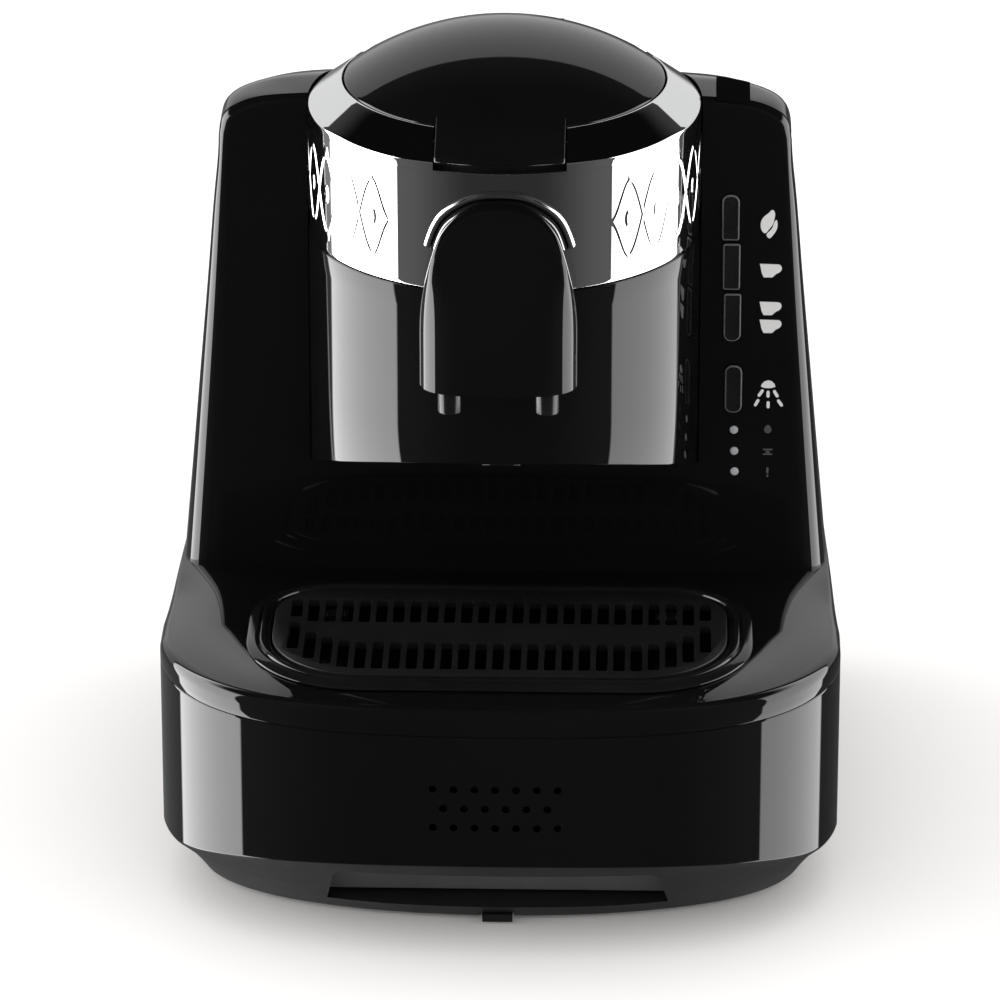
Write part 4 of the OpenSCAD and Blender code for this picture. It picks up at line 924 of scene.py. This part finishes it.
BUTTONS = {"slow_brew": (233.5, 17.0), "one_cup": (215.0, 17.3), "two_cups": (195.8, 18.0), "clean": (168.5, 18.0)}
LEDS = (152.5, 144.4, 136.5)
cyl = prism(circle(0, -9, 70.35, 240), "z", 139.6, 300)
BW, BR = 6.2, 2.7
ENDS = {"slow_brew": (BR, 0.9), "one_cup": (0.9, 0.9), "two_cups": (0.9, BR), "clean": (BR, BR)}
keys = [prism(capsule(BW + 0.7, h + 0.7, ENDS[k][0] + 0.35, ENDS[k][1] + 0.35) + [col_x(z), z], "y", -40, 20) for k, (z, h) in BUTTONS.items()]
keys += [prism(circle(col_x(z), z, 1.66, 40), "y", -40, 20) for z in LEDS]
cut(panel, cyl, join("keys", *keys))
shade(panel.data, 34)
like(panel, ref)
finish_piece(panel, "gloss_black", "machine", "gloss_black", "tower_front_panel")

# side walls and rear corners
q = np.concatenate([[t3 + 0.06, t3 + 0.16, t3 + 0.5], np.linspace(t3, T[-1], 120)[2:]])
g = eased(q, np.concatenate([[t3 + 0.5, t3 + 0.66, t3 + 1.0], np.maximum(q[3:], t3 + 1.3)]))
low = g[:, :NA].copy()
low[:, -1] = low[:, -1] * 0.02 + low[:, -2] * 0.98
low[0, :, 0] -= 0.2
corner = low[-1:].copy()
corner[..., 0] = 72.4
low = np.concatenate([low, low[-1:] * 0.5 + corner * 0.5, corner])
low[..., 1] = np.minimum(low[..., 1], 135)
right = patch("side_r", low, 2.4)
m = low.copy()
m[..., 0] *= -1
left = patch("side_l", m, 2.4)
sides = join("tower_side_walls", right, left)
shade(sides.data, 34)
cut(sides, prism(circle(0, -9, 70.35, 240), "z", 139.6, 300))
shade(sides.data, 34)
finish_piece(sides, "gloss_black", "machine", "gloss_black", "tower_rear_shell")

# top cover
up = g[:, NA - 1:].copy()
up[0, :, 0] = np.maximum(up[0, :, 0] - 0.2, 0)
up[0, :, 2] -= 0.9 * smooth01((g[0, NA - 1:, 2] - 262) / 9)
up[:, 0] = up[:, 0] * 0.98 + up[:, 1] * 0.02
tail = up[-1:].copy()
tail[..., 2] = seam_zy(135) + 0.05
tail[..., 1] = 134.95
up = np.concatenate([up, up[-1:] * 0.5 + tail * 0.5, tail])
top = patch("tower_cover", both(up), 2.4)
ref = top.data.copy()
cut(top, prism(circle(0, -9, 70.35, 240), "z", 139.6, 300), prism(box_poly(-72.35, 83, 72.35, 150), "z", 98, 300))
shade(top.data, 34)
like(top, ref)
finish_piece(top, "gloss_black", "machine", "gloss_black", "tower_top_cover")

# the wall that closes the tank bay in front of the tank lid; its unreflecting black is painted shade in the gap
whole = both(up)
P = []
for j in range(whole.shape[1]):
    c = whole[:, j]
    for i in np.where((c[:-1, 1] <= 82.2) & (c[1:, 1] > 82.2))[0][:1]:
        P.append(c[i] + (82.2 - c[i, 1]) / (c[i + 1, 1] - c[i, 1]) * (c[i + 1] - c[i]))
P = np.array(sorted(P, key=lambda p: p[0]))
xs = np.linspace(-72.3, 72.3, 49)
zs = np.interp(xs, P[:, 0], P[:, 2]) - 1.1
apron = prism([[x, z] for x, z in zip(xs, zs)] + [[72.3, 233], [-72.3, 233]], "y", 81.4, 82.95, "tank_bay_front_wall")
finish_piece(apron, "vent_black", "machine", "matte_black")


# a lip behind the seam between the side walls and the top cover, in an unreflecting black that paints the seam's shade
# as a dark line
def seam_lip(name, a, b):
    d = b - a
    d /= np.maximum(np.linalg.norm(d, axis=-1, keepdims=True), 1e-6)
    t = np.gradient(a, axis=0)
    inward = np.cross(t, d)
    inward /= np.maximum(np.linalg.norm(inward, axis=-1, keepdims=True), 1e-6)
    mid = np.array([0, 50, 150.0])
    inward *= np.sign(((mid - a) * inward).sum(-1, keepdims=True))
    return patch(name, np.stack([a - d * 0.9, b + d * 0.9], 1) + inward[:, None] * 0.8, 0.8)


n = len(g)
a, b = low[1:n, -1], up[1:n, 0]
lip = seam_lip("lip_r", a, b)
flip = np.array([-1, 1, 1.0])
lip = join("tower_seam_lip", lip, seam_lip("lip_l", a * flip, b * flip))
shade(lip.data, 40)
finish_piece(lip, "vent_black", "machine", "matte_black")

# ---------------------------------------------------------------- cylinder, band, ring and lid
def under(x, y, z):
    return np.where(z < 0, 140 - z - 200 + 0.4 * np.maximum(0, -14 - y), z)


# a height below zero stands for "that far above the sloping lower edge, plus 200"
body = lathe("cylinder_shell", [(67.0, -200.0), (69.5, -200.0), (69.87, -200.15), (70.0, -200.5)] + [(70.0, z) for z in np.linspace(178, 229.4, 8)]
             + [(69.9, 229.75), (69.6, 229.9), (67.7, 229.95), (67.7, 272), (65.5, 272), (65.5, 226), (67.0, 224)],
             zf=lambda x, y, z: np.full(len(x), z) if z > 0 else 140 + (-z - 200) + 0.4 * np.maximum(0, -14 - y))
finish_piece(body, "gloss_black", "machine", "gloss_black", "cylinder_body")

# band with a sparse raised ornament on its two sides: a pair of fine crossing waves, with a bead in each opening
az = np.concatenate([np.arange(-180, -98, 2.0), np.arange(-98, -30, 0.2), np.arange(-30, 30, 1.0), np.arange(30, 98, 0.2), np.arange(98, 180, 2.0)])
th = np.radians(az - 90)
NBAND = len(th)
zc, wave = 252.8, 27.5


def ornament(z):
    s = np.abs(np.radians(az)) * 69.8 - math.radians(34) * 69.8
    w = 2 * np.pi / wave
    taper = smooth01((s + 0.5) / 3.0)
    amp = 14.2 * smooth01((s + 4) / 12.0)
    h = np.zeros_like(s)
    for sign in (1, -1):
        f = zc + sign * amp * np.sin(w * s)
        slope = amp * w * np.cos(w * s)
        d = np.abs(z - f) / np.sqrt(1 + slope * slope)
        h = np.maximum(h, 0.34 * taper * np.exp(-(d / 0.5) ** 2.6))
    u = (s / wave - 0.25 + 0.25) % 0.5 - 0.25
    d = np.sqrt((u * wave) ** 2 + ((z - zc) * 0.42) ** 2)
    bead = 0.34 * np.exp(-(np.maximum(d - 0.85, 0) / 0.35) ** 2)
    return np.maximum(h, np.where(s > 2, bead, 0))


def band_row(r, z, relief=False):
    rr = r + (ornament(z) if relief else 0)
    return np.column_stack([rr * np.cos(th), -9 + rr * np.sin(th), np.full(NBAND, z)])


rows = [band_row(67.9, 230.25), band_row(69.2, 230.25), band_row(69.5, 230.37), band_row(69.6, 230.7)]
zs = np.concatenate([[231.6, 234, 236.5], np.arange(238.4, 267.4, 0.3), [269.2, 272.0, 273.9]])
rows += [band_row(69.6 + 0.4 * (z - 230.7) / 46.3, z, 238 < z < 268) for z in zs]
band = loft("chrome_band_ornament", rows + [band_row(67.9, 273.9)], loop_v=True, sharp=60)
finish_piece(band, "chrome", "machine", "chrome", "chrome_band")
z1, r1 = 276.2, 69.98
prof = [(67.9, 273.93), (69.97, 273.93), (69.98, 274.2), (69.98, 275.6), (69.97, 276.2), (69.9, 276.6), (69.72, 276.92), (69.44, 277.22)]
n = 8
prof += [(69.44 + (58.3 - 69.44) * t, 277.22 + (285.5 - 277.22) * t) for t in np.linspace(0.06, 1, n)]
prof += [(58.0, 285.68), (57.75, 285.72), (57.62, 285.55), (57.6, 285.1), (57.6, 277.4), (59.1, 277.4), (59.1, 282.2), (67.9, 275.6)]
ring_top = lathe("chrome_ring", prof, sharp=34)
ref = ring_top.data.copy()
cut(ring_top, prism(box_poly(-23.2, 274.4, 23.2, 300), "y", -90, -59), prism(box_poly(-21, 271.6, 21, 300), "y", 40, 70))
shade(ring_top.data, 34)
like(ring_top, ref)
finish_piece(ring_top, "chrome", "machine", "chrome", "chrome_band")

DR = (57 * 57 + 18 * 18) / 36
DC = 304 - DR


def dome_z(r, R=DR):
    return DC + np.sqrt(R * R - r * r)


prof = [(0.05, float(dome_z(0.05)))] + [(r, float(dome_z(r))) for r in np.linspace(2, 56.2, 40)]
prof += [(56.6, float(dome_z(56.6)) - 0.06), (56.88, float(dome_z(56.8)) - 0.3), (57.0, float(dome_z(57)) - 0.75), (56.95, 283), (56.6, 280.45),
         (54.6, 280.4), (54.6, 283.0)] + [(r, float(dome_z(r, DR - 2.4))) for r in np.linspace(54.0, 1, 14)] + [(0.05, float(dome_z(0.05, DR - 2.4)))]
dome = lathe("lid_dome_shell", prof, loop_v=True, sharp=34)
arm = prism(dense([[46, 286.6], [46, 283.2], [53, 282], [58, 280], [59.5, 284.3], [50, 285.8]], 2.0), "x", -12, 12, "arm")
knuckle = prism(circle(58, 281, 3.6, 48), "x", -13.6, 13.6, "knuckle")
cut(arm, knuckle, op="UNION")
cut(arm, prism(circle(58, 281, 1.66, 32), "x", -30, 30))
lid = join("lid_dome_shell", dome, arm)
shade(lid.data, 34)
finish_piece(lid, "gloss_black", "lid", "gloss_black", "lid_dome")

# tab at the lid's front: the dome's surface runs on over the ring
tab = [(-46, float(dome_z(46)) - 277.6), (-49, float(dome_z(49)) - 277.3), (-51.5, float(dome_z(51.5)) - 277.07), (-53, float(dome_z(53)) - 276.95),
       (-54.5, float(dome_z(54.5)) - 276.78), (-56.2, 10.16), (-59, 8.95),
       (-62, 7.75), (-66, 6.2), (-70, 4.66), (-72, 3.88), (-73.0, 3.4), (-73.4, 2.7), (-73.3, 1.95), (-72.8, 1.5), (-72, 1.3), (-69, 2.2), (-62, 5.0),
       (-57.6, 6.9), (-55, 8.0), (-51, 10.4), (-47, 12.6)]
c = spline(np.array(tab, float), 8)
area = 0.5 * np.sum(c[:, 0] * np.roll(c[:, 1], -1) - np.roll(c[:, 0], -1) * c[:, 1])
if area < 0:
    c = c[::-1]
rows = []
half = [(22.6, 0.6), (22.58, 0.38), (22.47, 0.2), (22.3, 0.07), (22.05, 0.0), (20, 0), (17, 0), (14, 0), (11, 0), (8, 0), (5, 0), (2, 0)]
for x, ins in [(-a, b) for a, b in half] + half[::-1]:
    p = offset(c, ins)
    rows.append(np.column_stack([np.full(len(p), x), -9 - np.sqrt(p[:, 0] ** 2 - x * x), p[:, 1] + 277]))
tab = loft("lid_tab_grip", rows, caps=(True, True), sharp=40)
finish_piece(tab, "gloss_black", "lid", "satin_black", "lid_tab")

# ---------------------------------------------------------------- spout
ARCH = [(27.4, 201.5), (27.4, 214), (27.2, 227), (25.3, 241), (22.7, 251), (19.5, 257.5), (13.8, 262.5), (7.5, 265.5), (0, 266.4)]
ac = spline(np.array([(27.4, 190)] + ARCH + [(-x, z) for x, z in ARCH[-2::-1]] + [(-27.4, 190)], float), 16, closed=False)
ac = dense(ac[ac[:, 1] >= 201.499], 0.8, closed=False)
ac[0, 1] = ac[-1, 1] = 201.5
SIDE = spline(np.array([(-95, 195), (-95, 201.5), (-95.3, 215), (-94.4, 230), (-92, 243), (-87, 253.6), (-80, 261.6), (-72, 266.6), (-50, 268)], float), 12, closed=False)
PLAN = spline(np.array([(28.5, -60), (28.5, -72), (28.5, -80), (27, -85.4), (23.6, -90), (17, -93.4), (9, -95.2), (0, -95.8), (-9, -95.2)], float), 12, closed=False)


def face_y(x, z):
    s = np.interp(z, SIDE[:, 1], SIDE[:, 0])
    px = PLAN[: 12 * 7 + 1]
    o = np.argsort(px[:, 0])
    p = np.interp(np.abs(x), px[o, 0], px[o, 1])
    k = 2.5
    h = np.clip(0.5 + 0.5 * (s - p) / k, 0, 1)
    return p * (1 - h) + s * h + k * h * (1 - h)


def spout_row(inset, back=None, most=0.985):
    """inset: how far in from the outline towards the spine; back: depth behind the face."""
    sx, sz = np.zeros(len(ac)), np.minimum(ac[:, 1], 236.0)
    v = np.stack([sx - ac[:, 0], sz - ac[:, 1]], 1)
    l = np.linalg.norm(v, axis=1)
    t = np.minimum(inset / np.maximum(l, 1e-6), most)
    p = ac + v * t[:, None]
    y = face_y(p[:, 0], np.maximum(p[:, 1], 201.5))
    if back is not None:
        y = y + back
    return np.column_stack([p[:, 0], y - 9, p[:, 1]])


R0 = 2.2
wall = ac.copy()
ywall = -9 - np.sqrt(np.maximum(69.5 ** 2 - wall[:, 0] ** 2, 0))
rows = [np.column_stack([wall[:, 0], ywall, wall[:, 1]])]
f0 = spout_row(0, R0)
for t in (0.25, 0.5, 0.75, 0.92):
    r = f0.copy()
    r[:, 1] = ywall * (1 - t) + np.minimum(f0[:, 1], ywall + 0.0) * t
    rows.append(r)
for a in np.radians(np.linspace(0, 90, 9)):
    rows.append(spout_row(R0 * (1 - math.cos(a)), R0 * (1 - math.sin(a))))
for k, d in enumerate((3, 4.2, 6, 8.5, 11.5, 15, 19, 24)):
    rows.append(spout_row(d, most=0.6 + 0.05 * k))
rows.append(spout_row(60, most=1.0))
for r in rows:
    r[:, 1] = np.minimum(r[:, 1], np.minimum(ywall, 0))
spout = add_mesh("spout_nose", np.concatenate(rows), grid_faces(len(rows), len(ac), False), 40)
me = spout.data
if sum((p.center - Vector((0, -0.08, 0.22))).dot(p.normal) * p.area for p in me.polygons) < 0:
    me.flip_normals()
md = spout.modifiers.new("wall", "SOLIDIFY")
md.thickness, md.offset = 2.0 * MM, -1
applied(spout)
shade(spout.data, 40)
finish_piece(spout, "gloss_black", "machine", "gloss_black", "spout_cover")

# chrome arch behind the cover's top
tr = np.array([(x * 1.09, z + 1.9 * (z - 214) / 52) for x, z in ac])
inn = np.array([(x * 1.005, z + 0.05) for x, z in ac])
keep = ac[:, 1] > 246
tr, inn = tr[keep], inn[keep]


def trim_row(t, r):
    p = inn * (1 - t) + tr * t
    return np.column_stack([p[:, 0], -9 - np.sqrt(r * r - p[:, 0] ** 2), p[:, 1]])


rows = [trim_row(0, 70.05), trim_row(0, 72.5), trim_row(0.1, 72.85), trim_row(0.3, 73.0), trim_row(0.7, 73.0), trim_row(0.9, 72.8), trim_row(1.0, 72.3), trim_row(1, 70.05)]
m = len(rows[0])
f = grid_faces(len(rows), m, False, True)
f += [tuple(i * m for i in range(len(rows)))[::-1], tuple(i * m + m - 1 for i in range(len(rows)))]
trim = add_mesh("spout_chrome_arch", np.concatenate(rows), f, 40)
finish_piece(trim, "chrome", "machine", "chrome", "spout_trim")

noz = []
for s in (-1, 1):
    noz.append(lathe("noz", [(2.8, 191.6), (3.7, 191.5), (4.05, 191.65), (4.2, 192.0), (4.2, 203.0), (4.2, 205.25), (5.4, 205.3), (5.4, 206.6),
                             (4.2, 206.7), (4.2, 208), (2.8, 208), (2.8, 200)], s * 16.9, -92.0, 64))
noz = join("spout_nozzle_pair", *noz)
shade(noz.data, 36)
finish_piece(noz, "satin_black", "machine", "grey_plastic", "spout_nozzles")


# ---------------------------------------------------------------- push buttons
for name, (z, h) in BUTTONS.items():
    ends = ENDS[name]

    def level(inset, d):
        q = capsule(BW - 2 * inset, h - 2 * inset, max(ends[0] - inset, 0.25), max(ends[1] - inset, 0.25))
        x, zz = q[:, 0] + col_x(z), q[:, 1] + z
        return np.column_stack([x, panel_y(zz) - d, zz])
    prof = [(0.3, -4.7), (0.0, -4.4), (0.0, 0.55)] + [(0.62 * (1 - math.cos(a)), 0.55 + 0.62 * math.sin(a)) for a in np.radians(np.linspace(12, 90, 7))]
    prof += [(0.85, 1.17), (1.1, 1.1), (1.5, 1.02)]
    key = loft("key_" + name + "_cap", [level(i, d) for i, d in prof], caps=(True, True), sharp=40)
    finish_piece(key, "button_black", "key_" + name, "satin_black", "button_" + name)
    # painted highlight: a lighter ring around the button's edge stands in for the glint on its rim
    prof = [(0.06, 0.4), (-0.03, 0.5), (-0.03, 0.72), (0.02, 0.95), (0.13, 1.12), (0.28, 1.23), (0.42, 1.27), (0.52, 1.25), (0.56, 1.1), (0.5, 0.8), (0.3, 0.5)]
    rim = loft("key_" + name + "_rim", [level(i, d) for i, d in prof], loop_v=True, sharp=50)
    finish_piece(rim, "key_rim", "key_" + name, "satin_black", "button_" + name)

# ---------------------------------------------------------------- indicator lenses
lenses = []
for z in LEDS:
    rows = []
    for r, d in [(1.2, -6.0), (1.5, -5.8), (1.5, 0.0), (1.47, 0.1), (1.36, 0.2), (1.15, 0.28), (0.85, 0.34), (0.45, 0.38), (0.05, 0.4)]:
        a = 2 * np.pi * np.arange(40) / 40
        x, zz = col_x(z) + r * np.cos(a), z + r * np.sin(a)
        rows.append(np.column_stack([x, panel_y(zz) - d, zz]))
    lenses.append(loft("lens", rows, caps=(True, True), sharp=40))
lenses = join("indicator_lenses", *lenses)
shade(lenses.data, 40)
finish_piece(lenses, "led", "machine", "light_lens", "led_lenses")


# ---------------------------------------------------------------- pictograms printed on the panel
def printed(name, shapes, mat):
    out = []
    for cx, cz, poly in shapes:
        q = np.asarray(poly, float) + [cx, cz + 1.2]
        ob = prism(q, "y", -0.035, 0.2)
        for v in ob.data.vertices:
            v.co.y += float(panel_y(v.co.z / MM)) * MM
        out.append(ob)
    ob = join(name, *out)
    shade(ob.data, 30)
    return finish_piece(ob, mat, "machine", "gloss_black", "tower_front_panel")


def rounded(P, n=8):
    return spline(np.array(P, float), n)


def stroke(x0, z0, x1, z1, r):
    d = np.array([x1 - x0, z1 - z0], float)
    a = math.atan2(d[1], d[0])
    t = np.radians(np.linspace(-90, 90, 11))
    one = [(x1 + r * math.cos(a + q), z1 + r * math.sin(a + q)) for q in t]
    two = [(x0 - r * math.cos(a + q), z0 - r * math.sin(a + q)) for q in t]
    return one + two


BEAN_A = rounded([(1.3, 5.3), (2.2, 4.5), (2.25, 2.1), (1.4, -0.6), (0.0, -2.4), (-1.7, -3.9), (-3.0, -2.8), (-3.5, -0.9), (-3.2, 1.0), (-1.8, 2.9), (0.0, 4.3)])
BEAN_B = rounded([(3.0, 1.3), (3.5, -0.4), (3.1, -2.6), (1.5, -4.9), (0.2, -5.9), (-1.0, -4.6), (0.1, -3.2), (1.5, -1.4), (2.3, 0.7)])
CUP = [(-4.3, 2.7), (3.2, 2.5), (4.0, 1.9), (4.3, 1.0), (4.1, 0.1), (3.4, -0.7), (2.0, -1.4), (0.6, -2.8), (-2.7, -2.8), (-3.5, -1.2)]
DOME = [(-2.6, -0.9), (-2.3, 0.1), (-1.4, 1.1), (0.0, 1.6), (1.4, 1.1), (2.3, 0.1), (2.6, -0.9), (1.4, -1.3), (0.0, -1.45), (-1.4, -1.3)]
IX = 95.3
SC = 0.92
BEAN_A, BEAN_B, CUP = BEAN_A * [0.86, 0.95], BEAN_B * [0.86, 0.95], np.array(CUP) * SC
shapes = [(IX - 0.8, 230.0, BEAN_A), (IX - 0.8, 230.0, BEAN_B), (IX + 0.1, 212.2, CUP), (IX + 0.2, 197.9, CUP), (IX + 0.3, 191.1, CUP), (IX - 0.2, 168.9, DOME)]
for x0, z0, x1, z1 in ((-2.1, 167.6, -3.2, 165.9), (-3.6, 163.9, -4.5, 162.2), (0.0, 167.1, 0.0, 165.6), (0.1, 163.1, 0.1, 161.5),
                       (2.3, 167.4, 3.3, 165.7), (3.8, 163.8, 4.9, 162.2)):
    shapes.append((IX - 0.2, -1.2, stroke(x0, z0, x1, z1, 0.56)))
printed("print_pictograms", shapes, "ink")
dim = [(IX - 0.1, 151.8, rounded([(0, 1.5), (1.3, -0.6), (0.8, -1.4), (-0.8, -1.4), (-1.3, -0.6)])),
       (IX, 143.0, stroke(-1.5, 0.9, 1.5, 0.9, 0.28)), (IX, 143.0, stroke(-1.5, -0.9, 1.5, -0.9, 0.28)),
       (IX, 143.0, stroke(-0.4, 0.0, 0.4, 0.0, 0.4)),
       (IX, 135.2, stroke(0, 1.4, 0, -0.2, 0.42)), (IX, 135.2, stroke(0, -1.5, 0, -1.45, 0.42))]
printed("print_light_marks", dim, "ink_dim")


# ---------------------------------------------------------------- the CAD nodes that stay
KEEP = {"gloss_black": "gloss_black", "satin_black": "satin_black", "matte_black": "matte_black", "chrome": "chrome", "steel": "steel",
        "aluminium": "aluminium", "black_rubber": "black_rubber", "red_rubber": "red_rubber", "grey_plastic": "grey_plastic",
        "smoked_clear": "smoked_clear", "light_lens": "light_lens", "circuit_board": "circuit_board", "ceramic": "ceramic",
        "pump_metal": "pump_metal", "hose": "hose"}
SLOTS = {
    "satin_black": "lid_tab spout_underplate rocker_frame power_rocker",
    "matte_black": "base_plate drawer_front tank_bay_liner top_cover_insert cylinder_floor lid_hinge_bracket pot_holder waste_drawer speaker",
    "steel": "brew_pot serving_tube lid_hinge_pin tank_lid_pin base_screws heater_ring",
    "aluminium": "heater_plate",
    "black_rubber": "rubber_feet cord_gland pump_mounts tank_seat lid_gasket",
    "red_rubber": "pot_gasket",
    "grey_plastic": "lid_liner spout_manifold spout_nozzles drain_funnel tank_valve air_pump",
    "smoked_clear": "water_tank",
    "light_lens": "led_lenses cup_light_lens",
    "circuit_board": "button_board control_board",
    "ceramic": "thermostat",
    "pump_metal": "water_pump power_supply",
    "hose": "water_hose air_hose",
    "gloss_black": "tank_lid",
}
MAT_OF = {n: s for s, names in SLOTS.items() for n in names.split()}
MAT_OF.update(top_cover_insert="vent_black", drawer_front="drawer_black", cup_light_lens="lamp_lens")
BEVELLED = ("drawer_front top_cover_insert lid_hinge_bracket rocker_frame power_rocker tank_lid tank_bay_liner waste_drawer "
            "base_plate spout_underplate").split()
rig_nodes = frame["nodes"]
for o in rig.pieces():
    name = o.name
    if name not in MAT_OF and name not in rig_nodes:
        continue
    if o.get("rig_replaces"):
        continue
    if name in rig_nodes:
        o.data.materials.clear()
        o.data.materials.append(M[MAT_OF.get(name, "satin_black")])
        if "custom_normal" in o.data.attributes:
            o.data.attributes.remove(o.data.attributes["custom_normal"])
        flat = name == "tank_lid"
        o.data.polygons.foreach_set("use_smooth", [not flat] * len(o.data.polygons))
        w = o.modifiers.new("weld", "WELD")
        w.merge_threshold = 2e-6
        if flat:
            bevel(o, 0.3, 2, 50)
        elif name in BEVELLED:
            bevel(o, 0.3, 2, 50)
            wn = o.modifiers.new("flat", "WEIGHTED_NORMAL")
            wn.mode, wn.weight, wn.keep_sharp = "FACE_AREA", 100, False
        else:
            sp = o.modifiers.new("split", "EDGE_SPLIT")
            sp.split_angle = math.radians(30)

lo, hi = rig.bounds()
with open("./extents.json", "w") as f:
    json.dump({"cad": [list(cad_lo), list(cad_hi)], "visual": [list(lo), list(hi)]}, f)
